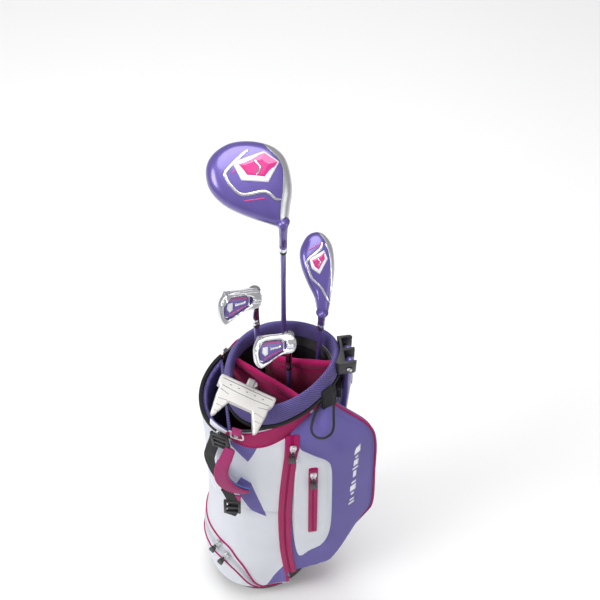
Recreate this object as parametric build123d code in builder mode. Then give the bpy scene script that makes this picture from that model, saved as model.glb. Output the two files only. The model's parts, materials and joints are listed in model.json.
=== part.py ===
from build123d import *
import os
from math import cos, pi, radians, sin, tan

# A junior stand bag with five clubs. Millimetres, +Z up, origin at the middle of the base's underside.
# +X is the side of the stand legs, -X the putter well, -Y the side with the big pockets.

# ---- driving dimensions ----
BODY_HEIGHT = 600.0
BASE_EGG = (0.0, 88.0, 84.0, 0.10)      # middle x, half length, half width, taper towards +X
TOP_EGG = (17.0, 97.0, 80.0, 0.10)
CUFF_LOW_EGG = (40.0, 84.0, 77.0, 0.20)
CUFF_TOP_EGG = (40.0, 80.0, 69.0, 0.20)
CUFF_HOLE_EGG = (40.0, 71.0, 61.0, 0.20)
EGG_POINTS = 20
RIM_SLOPE = 0.30                         # the rim rises towards the stand legs
RIM_X, RIM_Z = 40.0, 645.0
CUFF_DEEP = 33.0
BINDING_DEEP = 6.0
WELL_RIM_DROP = 57.0                     # the putter well's rim, below the plane of the cuff
WELL_X = -44.0                           # inner wall of the putter well
WELL_FLOOR_Z = 300.0
COLLAR_LOW_Z, COLLAR_SLOPE = 556.0, 0.46
TRAY_HEIGHT = 34.0
TRAY_FLOOR = 6.0
CLOTH = 3.0
SKIN_GAP = 0.3
LEG_R = 6.5
STAND_Y = -10.0
LEG_Y = 9.5
LEG_TOP = Vector(133.5, STAND_Y + LEG_Y, 655.0)
LEG_END = Vector(104.5, STAND_Y + LEG_Y, 46.0)
LEG_SPLAY = 0.25
PIN_R = 2.0
SHAFT_R = 3.6
GRIP_LENGTH = 230.0
GRIP_BUTT_R, GRIP_MOUTH_R = 10.3, 7.4
BUTT_Z = TRAY_FLOOR + 0.5
CORD_R = 1.75

# name: butt point, point on the axis at the rim, turn of the face, lie angle, shaft end, sole height
CLUBS = {
    "driver": (Vector(44, 42, BUTT_Z), Vector(49.5, 48, 650), 3, 58, 841, 895),
    "hybrid": (Vector(72, 10, BUTT_Z), Vector(95, 14, 650), 0, 59, 706, 735),
    "seven_iron": (Vector(9.5, 28, BUTT_Z), Vector(9.5, 28, 650), 111, 61, 709, 786),
    "sand_wedge": (Vector(48, -1, BUTT_Z), Vector(50, -1, 650), 106, 62, 635, 712),
    "putter": (Vector(0, -10, BUTT_Z), Vector(-3, -36, 650), 63, 72, 650, 668),
}
MAIN_DIVIDER = [(-34, 50), (14, -2), (64, -58)]
SIDE_DIVIDER = [(126, -18), (34, 24), (23, 74)]
MAIN_PANEL_LOW, SIDE_PANEL_LOW = 330.0, 465.0

os.makedirs("parts", exist_ok=True)
finished = []


def keep(part, name):
    """Label a finished piece and write its STEP file."""
    part.label = name
    export_step(part, f"parts/{name}.step")
    finished.append(name)


# ---- shared geometry ----
def egg_points(egg, grow=0.0):
    """Points of a closed egg outline, blunt towards -X."""
    mid_x, half_x, half_y, taper = egg
    turns = [2 * pi * i / EGG_POINTS for i in range(EGG_POINTS)]
    return [
        (mid_x + (half_x + grow) * cos(t), (half_y + grow) * sin(t) * (1 - taper * cos(t)))
        for t in turns
    ]


def body_egg(level):
    """The body's outline at a height, in a straight line from the base to the top."""
    share = level / BODY_HEIGHT
    return tuple(low + (high - low) * share for low, high in zip(BASE_EGG, TOP_EGG))


def body_section(level, grow=0.0):
    with BuildSketch(Plane.XY.offset(level)) as section:
        with BuildLine():
            Spline(*egg_points(body_egg(level), grow), periodic=True)
        make_face()
    return section.sketch


def body_sections(low, high, grow=0.0):
    return [body_section(low, grow), body_section(high, grow)]


def rim_plane(drop):
    """The sloping plane of the cuff's rim, lowered by drop."""
    return Plane(origin=(RIM_X, 0, RIM_Z - drop), x_dir=(1, 0, RIM_SLOPE), z_dir=(-RIM_SLOPE, 0, 1))


def rim_section(drop, egg, grow=0.0):
    """An egg outline seen from above, drawn on the rim's plane."""
    stretch = (1 + RIM_SLOPE**2) ** 0.5
    points = [((x - RIM_X) * stretch, y) for x, y in egg_points(egg, grow)]
    with BuildSketch(rim_plane(drop)) as section:
        with BuildLine():
            Spline(*points, periodic=True)
        make_face()
    return section.sketch


def on_body(turn, level, grow=0.0):
    """A point on the body's surface, and the outward direction there."""
    mid_x, half_x, half_y, taper = body_egg(level)
    t = radians(turn)
    x = mid_x + (half_x + grow) * cos(t)
    y = (half_y + grow) * sin(t) * (1 - taper * cos(t))
    return Vector(x, y, level), Vector(cos(t) / half_x, sin(t) / half_y, 0).normalized()


def strip_points(path, half_width):
    """Outline of a straight-sided strip of constant width along a bent path."""
    def side(sign):
        points = []
        for i, (x, y) in enumerate(path):
            before = Vector(*path[max(i - 1, 0)])
            after = Vector(*path[min(i + 1, len(path) - 1)])
            along = (after - before).normalized()
            points.append((x - sign * half_width * along.Y, y + sign * half_width * along.X))
        return points
    return side(1) + side(-1)[::-1]


COLLAR_PLANE = Plane(
    origin=(0, 0, COLLAR_LOW_Z), x_dir=(1, 0, COLLAR_SLOPE), z_dir=(-COLLAR_SLOPE, 0, 1)
)
COLLAR_TOP_DROP = CUFF_DEEP + BINDING_DEEP
PANEL_DROP = COLLAR_TOP_DROP + 0.5
WELL_SIDE = Plane(origin=(WELL_X, 0, 0), z_dir=(1, 0, 0))
RING_POINT, RING_OUT = on_body(-120, 588, 1.8)
RING_PLANE = Plane(origin=RING_POINT, x_dir=(-RING_OUT.Y, RING_OUT.X, 0), z_dir=RING_OUT)


# ---- body of the bag ----
def make_base_tray():
    """Moulded base: floor and low wall, with a turned-in lower edge."""
    with BuildPart() as base_tray:
        loft(sections=[body_section(0, -2.5), body_section(4, 1.5)], ruled=True)
        loft(sections=body_sections(4, TRAY_HEIGHT, 1.5), ruled=True)
        loft(sections=body_sections(TRAY_FLOOR, TRAY_HEIGHT + 1, -2.0), ruled=True, mode=Mode.SUBTRACT)
    keep(base_tray.part, "base_tray")


def make_body_shell():
    """Cloth tube of the bag; its top steps down over the putter well."""
    with BuildPart() as body_shell:
        loft(sections=body_sections(TRAY_HEIGHT, BODY_HEIGHT + 50), ruled=True)
        inner = body_sections(TRAY_HEIGHT - 1, BODY_HEIGHT + 51, -CLOTH)
        loft(sections=inner, ruled=True, mode=Mode.SUBTRACT)
        split(bisect_by=rim_plane(COLLAR_TOP_DROP), keep=Keep.BOTTOM)
        with BuildSketch(rim_plane(WELL_RIM_DROP)):
            with Locations((WELL_X - RIM_X - 60, 0)):
                Rectangle(120, 220)
        extrude(amount=80, mode=Mode.SUBTRACT)
    keep(body_shell.part, "body_shell")


def make_stays():
    """Four stiff rods inside the cloth, from the base to the top frame."""
    with BuildPart() as stays:
        for turn in (-105, -50, 50, 105):
            low, _ = on_body(turn, TRAY_FLOOR + 1, -CLOTH - 3.6)
            high, _ = on_body(turn, 530, -CLOTH - 3.6)
            rod = Plane(origin=low, z_dir=high - low)
            with BuildSketch(rod):
                Circle(2.2)
            extrude(amount=(high - low).length)
    keep(stays.part, "stays")


def make_top_collar():
    """Coloured band round the top, below the cuff, and the tab that holds the strap ring."""
    with BuildPart() as top_collar:
        loft(sections=body_sections(500, 680, 1.8), ruled=True)
        loft(sections=body_sections(499, 681, SKIN_GAP / 3), ruled=True, mode=Mode.SUBTRACT)
        split(bisect_by=rim_plane(COLLAR_TOP_DROP), keep=Keep.BOTTOM)
        split(bisect_by=COLLAR_PLANE, keep=Keep.TOP)
        split(bisect_by=WELL_SIDE, keep=Keep.TOP)
        with BuildSketch(RING_PLANE):
            with Locations((0, 9)):
                Rectangle(14, 12)
        extrude(amount=7.2)
        with BuildSketch(RING_PLANE.offset(2.0)):
            with Locations((0, 5.75)):
                Rectangle(24, 4.4)
        extrude(amount=3.8, mode=Mode.SUBTRACT)
    keep(top_collar.part, "top_collar")


def make_top_frame():
    """Stiff ring inside the cloth that carries the cuff and the dividers."""
    with BuildPart() as top_frame:
        loft(sections=body_sections(520, 690, -CLOTH - 0.2), ruled=True)
        loft(sections=body_sections(519, 691, -CLOTH - 3.4), ruled=True, mode=Mode.SUBTRACT)
        split(bisect_by=rim_plane(COLLAR_TOP_DROP + 1), keep=Keep.BOTTOM)
        split(bisect_by=rim_plane(COLLAR_TOP_DROP + 22), keep=Keep.TOP)
        split(bisect_by=WELL_SIDE.offset(4.5), keep=Keep.TOP)
    keep(top_frame.part, "top_frame")


def make_cuff():
    """Padded mesh cuff round the opening, and the black binding under it."""
    with BuildPart() as cuff_pad:
        loft(sections=[rim_section(CUFF_DEEP, CUFF_LOW_EGG), rim_section(7, CUFF_LOW_EGG, -2)], ruled=True)
        loft(sections=[rim_section(7, CUFF_LOW_EGG, -2), rim_section(0, CUFF_TOP_EGG)], ruled=True)
        hole = [rim_section(CUFF_DEEP + 1, CUFF_HOLE_EGG), rim_section(-1, CUFF_HOLE_EGG)]
        loft(sections=hole, ruled=True, mode=Mode.SUBTRACT)
    keep(cuff_pad.part, "cuff_pad")
    with BuildPart() as cuff_binding:
        band = [rim_section(drop, CUFF_LOW_EGG, 1.5) for drop in (COLLAR_TOP_DROP, CUFF_DEEP)]
        loft(sections=band, ruled=True)
        hole = [rim_section(drop, CUFF_HOLE_EGG) for drop in (COLLAR_TOP_DROP + 1, CUFF_DEEP - 1)]
        loft(sections=hole, ruled=True, mode=Mode.SUBTRACT)
    return cuff_binding.part


def make_putter_well(cuff_binding):
    """Bindings of both rims, and the padded lining of the putter well on the -X side."""
    rim_top = WELL_RIM_DROP - 9
    with BuildPart() as well_binding:
        loft(sections=body_sections(500, 640, 2.5), ruled=True)
        loft(sections=body_sections(499, 641, -CLOTH - 2.0), ruled=True, mode=Mode.SUBTRACT)
        split(bisect_by=rim_plane(rim_top), keep=Keep.BOTTOM)
        split(bisect_by=rim_plane(WELL_RIM_DROP), keep=Keep.TOP)
        split(bisect_by=WELL_SIDE.offset(-1), keep=Keep.BOTTOM)
        add(cuff_binding)
    keep(well_binding.part, "rim_binding")
    with BuildPart() as well_lining:
        walls = body_sections(WELL_FLOOR_Z + 4, 650, -CLOTH - 8.0)
        room = loft(sections=walls, ruled=True, mode=Mode.PRIVATE)
        room = split(room, bisect_by=WELL_SIDE, keep=Keep.BOTTOM, mode=Mode.PRIVATE)
        loft(sections=body_sections(WELL_FLOOR_Z, 640, -CLOTH - 0.2), ruled=True)
        split(bisect_by=WELL_SIDE.offset(3.5), keep=Keep.BOTTOM)
        split(bisect_by=rim_plane(WELL_RIM_DROP), keep=Keep.BOTTOM)
        add(room, mode=Mode.SUBTRACT)
    keep(well_lining.part, "well_lining")


def make_divider(path, low, name, trim=None):
    """Fleece-edged bar across the opening with a cloth panel hanging from it."""
    with BuildPart() as divider:
        with BuildSketch(Plane.XY.offset(560)):
            with BuildLine():
                Polyline(*strip_points(path, 4.0), close=True)
            make_face()
        extrude(amount=140)
        bar = [rim_section(drop, CUFF_HOLE_EGG, -0.1) for drop in (COLLAR_TOP_DROP + 0.8, 20)]
        loft(sections=bar, ruled=True, mode=Mode.INTERSECT)
        with BuildSketch(Plane.XY.offset(low)):
            with BuildLine():
                Polyline(*strip_points(path, 1.4), close=True)
            make_face()
        panel = extrude(amount=400, mode=Mode.PRIVATE)
        inside = loft(sections=body_sections(low, 660, -CLOTH - 4.5), ruled=True, mode=Mode.PRIVATE)
        panel = split(panel & inside, bisect_by=rim_plane(PANEL_DROP), keep=Keep.BOTTOM, mode=Mode.PRIVATE)
        add(panel)
        split(bisect_by=WELL_SIDE.offset(5), keep=Keep.TOP)
        if trim is not None:
            add(trim, mode=Mode.SUBTRACT)
    keep(divider.part, name)
    return divider.part


# ---- pockets, pipings and zips ----
WING = [(14, 22), (14, 550), (43, 560), (85, 583), (102, 598), (124, 572), (160, 520), (174, 467),
        (178, 363), (181, 250), (171, 204), (131, 116), (81, 22)]
ZIP_PATH = [(43, 558), (34, 455), (28, 333), (29, 200), (36, 70), (37, 26)]
PANEL = [(46, 556), (66, 553), (96, 515), (102, 451), (102, 304), (92, 218), (49, 176), (40, 300), (42, 420)]
ACCESSORY_ZIP_X, ACCESSORY_ZIP_LOW, ACCESSORY_ZIP_HIGH = 72.0, 271.0, 496.0
FRONT_TOP_Y, FRONT_Y = -88.0, -99.0      # the pocket front leans back above FRONT_BEND_Z
FRONT_TOP_Z, FRONT_BEND_Z = 600.0, 300.0
WING_BACK_Y = -44.0
LAYER_START = 86.0                       # pieces on the pocket's front reach no deeper than this


def front_profile(proud):
    """Side view of the pocket's front face, moved out by proud."""
    return [
        (-20, 0), (-20, 660), (FRONT_TOP_Y + 2.2 - proud, 660), (FRONT_TOP_Y - proud, FRONT_TOP_Z),
        (FRONT_Y - proud, FRONT_BEND_Z), (FRONT_Y - proud, 70), (FRONT_TOP_Y - proud, 18), (-80, 0),
    ]


def front_layer(outline, outer, behind):
    """A flat piece on the pocket's front, standing proud of its face by outer."""
    with BuildPart() as layer:
        with BuildSketch(Plane.XZ.offset(LAYER_START)):
            with BuildLine():
                Polyline(*outline, close=True)
            make_face()
        extrude(amount=34)
        with BuildSketch(Plane.YZ.offset(-10)):
            with BuildLine():
                Polyline(*front_profile(outer), close=True)
            make_face()
        extrude(amount=220, mode=Mode.INTERSECT)
        add(behind, mode=Mode.SUBTRACT)
    return layer.part


def make_apparel_pocket():
    """Large side pocket whose wing reaches out past the stand legs, and its piping."""
    with BuildPart() as apparel_pocket:
        with BuildSketch(Plane.XZ.offset(20)):
            with BuildLine():
                Polyline(*WING, close=True)
            make_face()
        extrude(amount=90)
        with BuildSketch():
            with BuildLine():
                Polyline((14, -60), (14, -92), (22, -99), (103, -99), (181, -54), (181, WING_BACK_Y),
                         (60, WING_BACK_Y), close=True)
            make_face()
        extrude(amount=700, mode=Mode.INTERSECT)
        with BuildSketch(Plane.YZ.offset(-10)):
            with BuildLine():
                Polyline(*front_profile(0), close=True)
            make_face()
        extrude(amount=220, mode=Mode.INTERSECT)
        loft(sections=body_sections(0, 660, 2.1), ruled=True, mode=Mode.SUBTRACT)
    keep(apparel_pocket.part, "apparel_pocket")
    with BuildPart() as apparel_piping:
        for grow, mode in ((2.4, Mode.ADD), (0.0, Mode.SUBTRACT)):
            with BuildSketch(Plane.XZ.offset(47)):
                with BuildLine():
                    Polyline(*WING, close=True)
                make_face()
                if grow:
                    offset(amount=grow, kind=Kind.ARC)
            extrude(amount=4.5, mode=mode)
        with BuildSketch(Plane.XZ.offset(40)):
            with Locations((150, 330)):
                Rectangle(100, 560)
        extrude(amount=20, mode=Mode.INTERSECT)
    keep(apparel_piping.part, "apparel_piping")
    return apparel_pocket.part


def make_front_details(pocket):
    """Small white pocket, the two zips and their sliders."""
    zip_tape = front_layer(strip_points(ZIP_PATH, 10.5), 3.0, pocket)
    keep(zip_tape, "main_zip")
    panel = front_layer(PANEL, 4.0, pocket)
    panel = panel - front_layer(strip_points(ZIP_PATH, 11.0), 9.0, pocket)
    keep(panel.solids().sort_by(SortBy.VOLUME)[-1], "accessory_pocket")
    low, high, x = ACCESSORY_ZIP_LOW, ACCESSORY_ZIP_HIGH, ACCESSORY_ZIP_X
    outline = [(x - 7, low), (x + 7, low), (x + 7, high), (x - 7, high)]
    tape = front_layer(outline, 6.0, pocket) - front_layer(PANEL, 4.0, pocket)
    keep(tape, "accessory_zip")
    make_slider("main_zip_slider", (43.0, 556), 3.0 + SKIN_GAP)
    make_slider("accessory_zip_slider", (x, high - 20), 6.0 + SKIN_GAP)


def front_y(level):
    """The pocket's front face at a height between its bend and its top."""
    share = (level - FRONT_BEND_Z) / (FRONT_TOP_Z - FRONT_BEND_Z)
    return FRONT_Y + (FRONT_TOP_Y - FRONT_Y) * share


def make_slider(name, place, proud):
    """Zip slider and its pull, flat against the zip."""
    x, z = place
    lean = (FRONT_TOP_Y - FRONT_Y) / (FRONT_TOP_Z - FRONT_BEND_Z)
    face = Plane(origin=(x, front_y(z) - proud, z), x_dir=(1, 0, 0), z_dir=(0, -1, lean))
    with BuildPart() as slider:
        with BuildSketch(face):
            Trapezoid(10, 15, 82, rotation=180)
        extrude(amount=3.2)
        with BuildSketch(face.offset(3.2)):
            Rectangle(4, 10)
        extrude(amount=2.2)
        with BuildSketch(face.offset(1.2)):
            with Locations((0, -16)):
                RectangleRounded(9, 24, 2)
        extrude(amount=3.0)
    keep(slider.part, name)


BALL_SHIFT = (-18.0, -13.0)
BALL_BAND = (-10.0, 45.0)                # the zip band lies between the planes 2x + z = these


def ball_section(level, proud, grow=0.0):
    """The body's outline moved out to the front left by a share of BALL_SHIFT."""
    mid_x, half_x, half_y, taper = body_egg(level)
    points = egg_points((mid_x + BALL_SHIFT[0] * proud, half_x, half_y, taper), grow)
    with BuildSketch(Plane.XY.offset(level)) as section:
        with BuildLine():
            Spline(*[(x, y + BALL_SHIFT[1] * proud) for x, y in points], periodic=True)
        make_face()
    return section.sketch


def ball_bulge(grow):
    """Crescent that stands out of the body's front left."""
    with BuildPart() as bulge:
        levels = [(35, 0.5), (70, 0.95), (140, 1.0), (200, 0.5), (345, 0.12)]
        for (low, low_share), (high, high_share) in zip(levels, levels[1:]):
            ends = [ball_section(low, low_share, grow), ball_section(high, high_share, grow)]
            loft(sections=ends, ruled=True)
        loft(sections=body_sections(0, 400, SKIN_GAP), ruled=True, mode=Mode.SUBTRACT)
        split(bisect_by=Plane(origin=(13.5, 0, 0), z_dir=(1, 0, 0)), keep=Keep.BOTTOM)
        split(bisect_by=Plane(origin=(0, 48, 0), z_dir=(0, 1, 0)), keep=Keep.BOTTOM)
    return bulge.part.solids().sort_by(SortBy.VOLUME)[-1]


def band_plane(value):
    """The plane 2x + z = value, facing up."""
    return Plane(origin=(0, 0, value), x_dir=(1, 0, -2), z_dir=(2, 0, 1))


def make_ball_pocket():
    """Ball pocket round the lower front left, its pipings and its zip band."""
    bulge, skin = ball_bulge(0.0), ball_bulge(2.0)
    keep(bulge, "ball_pocket")
    low, high = BALL_BAND
    with BuildPart() as ball_piping:
        for value in (low, high):
            slab = split(skin, bisect_by=band_plane(value - 7), keep=Keep.TOP, mode=Mode.PRIVATE)
            add(split(slab, bisect_by=band_plane(value), keep=Keep.BOTTOM, mode=Mode.PRIVATE))
        add(bulge, mode=Mode.SUBTRACT)
    keep(ball_piping.part, "ball_piping")
    with BuildPart() as ball_zip:
        add(split(ball_bulge(1.0), bisect_by=band_plane(high - 7), keep=Keep.BOTTOM, mode=Mode.PRIVATE))
        split(bisect_by=band_plane(low), keep=Keep.TOP)
        add(bulge, mode=Mode.SUBTRACT)
    keep(ball_zip.part, "ball_zip")
    for name, centre in BALL_SLIDERS.items():
        make_ball_slider(name, Vector(*centre))


# ---- trim, strap and stand ----
BALL_SLIDERS = {"ball_slider_upper": (-83, -63, 188), "ball_slider_lower": (-71.5, -80, 171)}
BALL_OUT = Vector(-0.70, -0.69, 0.18).normalized()
RIVETS = [(-55, 604, 1.9), (-122, 576, 1.9), (-140, 566, 2.6), (55, 604, 1.9), (122, 576, 1.9)]
TAB_TURN = -36.0
LOOP_ROUTE = [(88, -57, 616), (80, -65, 608), (73, -76, 600), (69, -87, 595), (72, -95, 591),
              (80, -100, 590), (89, -101, 592), (97, -98, 597), (101, -91, 603), (102, -79, 612),
              (104, -67, 622), (105, -56, 634)]


def make_ball_slider(name, centre):
    """Slider and hanging pull on the ball pocket's zip."""
    face = Plane(origin=centre, x_dir=(-BALL_OUT.Y, BALL_OUT.X, 0), z_dir=BALL_OUT)
    with BuildPart() as slider:
        with BuildSketch(face):
            Rectangle(11, 9)
        extrude(amount=3.5)
        with BuildSketch(face.offset(1.0)):
            with Locations((0, -14)):
                Trapezoid(13, 20, 80)
        extrude(amount=3.5)
    keep(slider.part, name)


def make_trim():
    """Rivets, handle tab and towel loop on the collar."""
    with BuildPart() as rivets:
        for turn, level, grow in RIVETS:
            point, out = on_body(turn, level, grow)
            with BuildSketch(Plane(origin=point, z_dir=out)):
                Circle(3.2)
            extrude(amount=1.6)
    keep(rivets.part, "rivets")
    point, out = on_body(TAB_TURN, 600, 9.0)
    tab = Plane(origin=point, x_dir=(-out.Y, out.X, 0), z_dir=out)
    with BuildPart() as handle_tab:
        with BuildSketch(tab):
            with Locations((0, 20.3)):
                RectangleRounded(21, 33, 2)
        extrude(amount=3.0)
        with BuildSketch(tab.offset(-6.0)):
            with Locations((0, 11)):
                Rectangle(19, 13)
        extrude(amount=6.1)
    keep(handle_tab.part, "handle_tab")
    runs = [Vector(*b) - Vector(*a) for a, b in zip(LOOP_ROUTE, LOOP_ROUTE[1:])]
    radii = []
    for before, after in zip(runs, runs[1:]):
        turn = before.get_angle(after)
        radii.append(0.45 * min(before.length, after.length) / tan(radians(turn / 2)))
    print("towel loop radii", [round(r, 1) for r in radii])
    with BuildPart() as towel_loop:
        with BuildLine():
            FilletPolyline(*LOOP_ROUTE, radius=radii)
        with BuildSketch(Plane(origin=LOOP_ROUTE[0], z_dir=runs[0])):
            Circle(CORD_R)
        sweep()
    length = towel_loop.part.volume / (pi * CORD_R**2)
    print("towel loop length", round(length, 1), "runs", round(sum(r.length for r in runs), 1))
    keep(towel_loop.part, "towel_loop")


def flat_piece(outline, front, thick):
    """A plate of any outline facing -Y, its front at y = front."""
    with BuildPart() as plate:
        with BuildSketch(Plane.XZ.offset(-front - thick)):
            with BuildLine():
                Polyline(*outline, close=True)
            make_face()
        extrude(amount=thick)
    return plate.part


def make_strap():
    """Shoulder strap with its ring, buckle and adjuster on the front left."""
    pad = [(-36, 560), (-58, 562), (-69, 535), (-72, 500), (-67, 468), (-52, 442), (-30, 418),
           (-22, 430), (-40, 458), (-52, 482), (-50, 505), (-42, 535)]
    keep(flat_piece(pad, -94, 7), "shoulder_strap")
    buckle = Plane(origin=(-58, -70, 572), x_dir=(0.86, -0.5, 0), z_dir=(-0.5, -0.86, 0.1))
    with BuildPart() as strap_buckle:
        with BuildSketch(buckle):
            RectangleRounded(27, 34, 4)
        extrude(amount=7)
    keep(strap_buckle.part, "strap_buckle")
    with BuildPart() as strap_adjuster:
        with BuildSketch(Plane.XZ.offset(86)):
            with Locations((-54, 396)):
                Rectangle(16, 76)
            with Locations((-54, 378)):
                RectangleRounded(26, 36, 3)
        extrude(amount=6)
    keep(strap_adjuster.part, "strap_adjuster")
    with BuildPart() as strap_ring:
        with BuildSketch(RING_PLANE.offset(2.9)):
            with Locations((0, -2)):
                RectangleRounded(21, 18, 5)
                RectangleRounded(16, 13, 3, mode=Mode.SUBTRACT)
        extrude(amount=2.0)
    keep(strap_ring.part, "strap_ring")


def mirrored(part, side):
    """The +Y piece itself, or its mirror image on the other side of the stand."""
    return part if side > 0 else part.mirror(Plane.XZ.offset(-STAND_Y))


HINGE_LINE = Vector(-LEG_SPLAY, 1, 0).normalized()
HEAD_Y = 22.8
PIN_HEAD = 14.8


def make_stand():
    """Stand head on the cuff, two legs with feet, pins, clip and actuator."""
    eggs = [rim_section(CUFF_DEEP, CUFF_LOW_EGG, 0.2), rim_section(7, CUFF_LOW_EGG, -1.8)]
    tops = [rim_section(7, CUFF_LOW_EGG, -1.8), rim_section(-20, CUFF_TOP_EGG, 0.2)]
    with BuildPart() as stand_head:
        with BuildSketch(Plane.XY.offset(644)):
            with Locations((126.5, STAND_Y)):
                RectangleRounded(29, 2 * HEAD_Y, 5)
        extrude(amount=28)
        for side in (-1, 1):
            with BuildSketch(Plane.XY.offset(630)):
                with Locations((141, STAND_Y + side * (LEG_Y + 1.1))):
                    Rectangle(32, 17.2)
            extrude(amount=60, mode=Mode.SUBTRACT)
        loft(sections=eggs, ruled=True, mode=Mode.SUBTRACT)
        loft(sections=tops, ruled=True, mode=Mode.SUBTRACT)
        for side in (-1, 1):
            line = Vector(HINGE_LINE.X, side * HINGE_LINE.Y, 0)
            pivot = Vector(LEG_TOP.X, STAND_Y + side * LEG_Y, LEG_TOP.Z)
            with BuildSketch(Plane(origin=pivot - line * 9, z_dir=line)):
                Circle(PIN_R + 0.01)
            extrude(amount=30, mode=Mode.SUBTRACT)
    keep(stand_head.part, "stand_head")
    with BuildPart() as stand_pins:
        for side in (-1, 1):
            line = Vector(HINGE_LINE.X, side * HINGE_LINE.Y, 0)
            pivot = Vector(LEG_TOP.X, STAND_Y + side * LEG_Y, LEG_TOP.Z)
            with BuildSketch(Plane(origin=pivot - line * 8.8, z_dir=line)):
                Circle(PIN_R)
            extrude(amount=8.8 + PIN_HEAD)
            with BuildSketch(Plane(origin=pivot + line * PIN_HEAD, z_dir=line)):
                Circle(4.2)
            extrude(amount=2.2)
    keep(stand_pins.part, "stand_pins")
    down = (LEG_END - LEG_TOP).normalized()
    length = (LEG_END - LEG_TOP).length
    with BuildPart() as leg:
        with BuildSketch(Plane(origin=LEG_TOP, z_dir=down)):
            Circle(LEG_R)
        extrude(amount=length)
        with Locations(LEG_TOP):
            Sphere(LEG_R)
        with BuildSketch(Plane(origin=LEG_TOP - HINGE_LINE * 12, z_dir=HINGE_LINE)):
            Circle(PIN_R + 0.05)
        extrude(amount=24, mode=Mode.SUBTRACT)
    with BuildPart() as foot:
        with BuildSketch(Plane(origin=LEG_END - down * 16, z_dir=down)):
            Circle(LEG_R + 2.4)
            Circle(LEG_R, mode=Mode.SUBTRACT)
        extrude(amount=16)
        with BuildSketch(Plane(origin=LEG_END, z_dir=down)):
            Circle(LEG_R + 2.4)
        extrude(amount=10)
    for side, name in ((1, "right"), (-1, "left")):
        keep(mirrored(leg.part, side), f"stand_leg_{name}")
        keep(mirrored(foot.part, side), f"stand_foot_{name}")
    with BuildPart() as leg_clip:
        with BuildSketch(Plane.XY.offset(578)):
            with Locations((118.2, STAND_Y)):
                Rectangle(8, 44)
            with Locations((129, STAND_Y)):
                RectangleRounded(24, 5.0, 2)
        extrude(amount=24)
        loft(sections=body_sections(570, 610, 1.9), ruled=True, mode=Mode.SUBTRACT)
    keep(leg_clip.part, "leg_clip")
    wall = [Vector(body_egg(z)[0] + body_egg(z)[1] + 5.6, STAND_Y, z) for z in (40, 556)]
    with BuildPart() as actuator:
        with BuildSketch(Plane(origin=wall[0], z_dir=wall[1] - wall[0])):
            Circle(2.5)
        extrude(amount=(wall[1] - wall[0]).length)
        with BuildSketch(Plane.XY.offset(544)):
            with Locations(wall[1] + Vector(2, 0, 0)):
                RectangleRounded(12, 5.0, 2)
        extrude(amount=14)
        loft(sections=body_sections(500, 600, 2.1), ruled=True, mode=Mode.SUBTRACT)
    keep(actuator.part, "stand_actuator")


# ---- clubs ----
class Club:
    """Places of a club's pieces: Z runs up the shaft, X is the way the face looks."""

    def __init__(self, name):
        self.butt, rim, turn, lie, shaft_end, sole = CLUBS[name]
        self.name = name
        self.axis = (rim - self.butt).normalized()
        self.face = Vector(cos(radians(turn)), sin(radians(turn)), 0)
        self.plane = Plane(origin=self.butt, x_dir=self.face, z_dir=self.axis)
        self.shaft_length = shaft_end - self.butt.Z
        self.sole_height = sole - self.butt.Z
        across = self.plane.y_dir
        self.toe = self.axis * cos(radians(lie)) + across * sin(radians(lie))
        self.sole = self.axis * sin(radians(lie)) - across * cos(radians(lie))
        self.face = self.plane.x_dir
        self.heel = self.butt + self.axis * self.sole_height

    def at(self, height):
        """Plane across the shaft at a height above the butt."""
        return self.plane.offset(height)

    def head_plane(self, shift=(0, 0, 0)):
        """Plane of the sole: X towards the face, Y towards the toe, Z out of the sole."""
        plane = Plane(origin=self.heel, x_dir=self.face, z_dir=self.sole)
        plane.origin = plane.from_local_coords(Vector(*shift))
        return plane


def make_shaft_and_grip(club, in_head):
    """Tube shaft that enters the head, tapered grip over its lower end."""
    with BuildPart() as shaft:
        with BuildSketch(club.at(4)):
            Circle(SHAFT_R)
            Circle(SHAFT_R - 1.0, mode=Mode.SUBTRACT)
        extrude(amount=club.shaft_length - 4 + in_head)
    keep(shaft.part, f"{club.name}_shaft")
    with BuildPart() as grip:
        with BuildSketch(club.at(0)):
            Circle(GRIP_BUTT_R)
        with BuildSketch(club.at(GRIP_LENGTH)):
            Circle(GRIP_MOUTH_R)
        loft()
        with BuildSketch(club.at(4)):
            Circle(SHAFT_R)
        extrude(amount=GRIP_LENGTH, mode=Mode.SUBTRACT)
    keep(grip.part, f"{club.name}_grip")


def make_ferrule(club, radius, length):
    """Collar on the shaft just below the head."""
    with BuildPart() as ferrule:
        with BuildSketch(club.at(club.shaft_length - length)):
            Circle(radius - 0.6)
            Circle(SHAFT_R, mode=Mode.SUBTRACT)
        with BuildSketch(club.at(club.shaft_length)):
            Circle(radius)
            Circle(SHAFT_R, mode=Mode.SUBTRACT)
        loft()
    keep(ferrule.part, f"{club.name}_ferrule")


def scaled_outline(points, share, middle):
    return [(middle[0] + (x - middle[0]) * share, middle[1] + (y - middle[1]) * share) for x, y in points]


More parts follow.
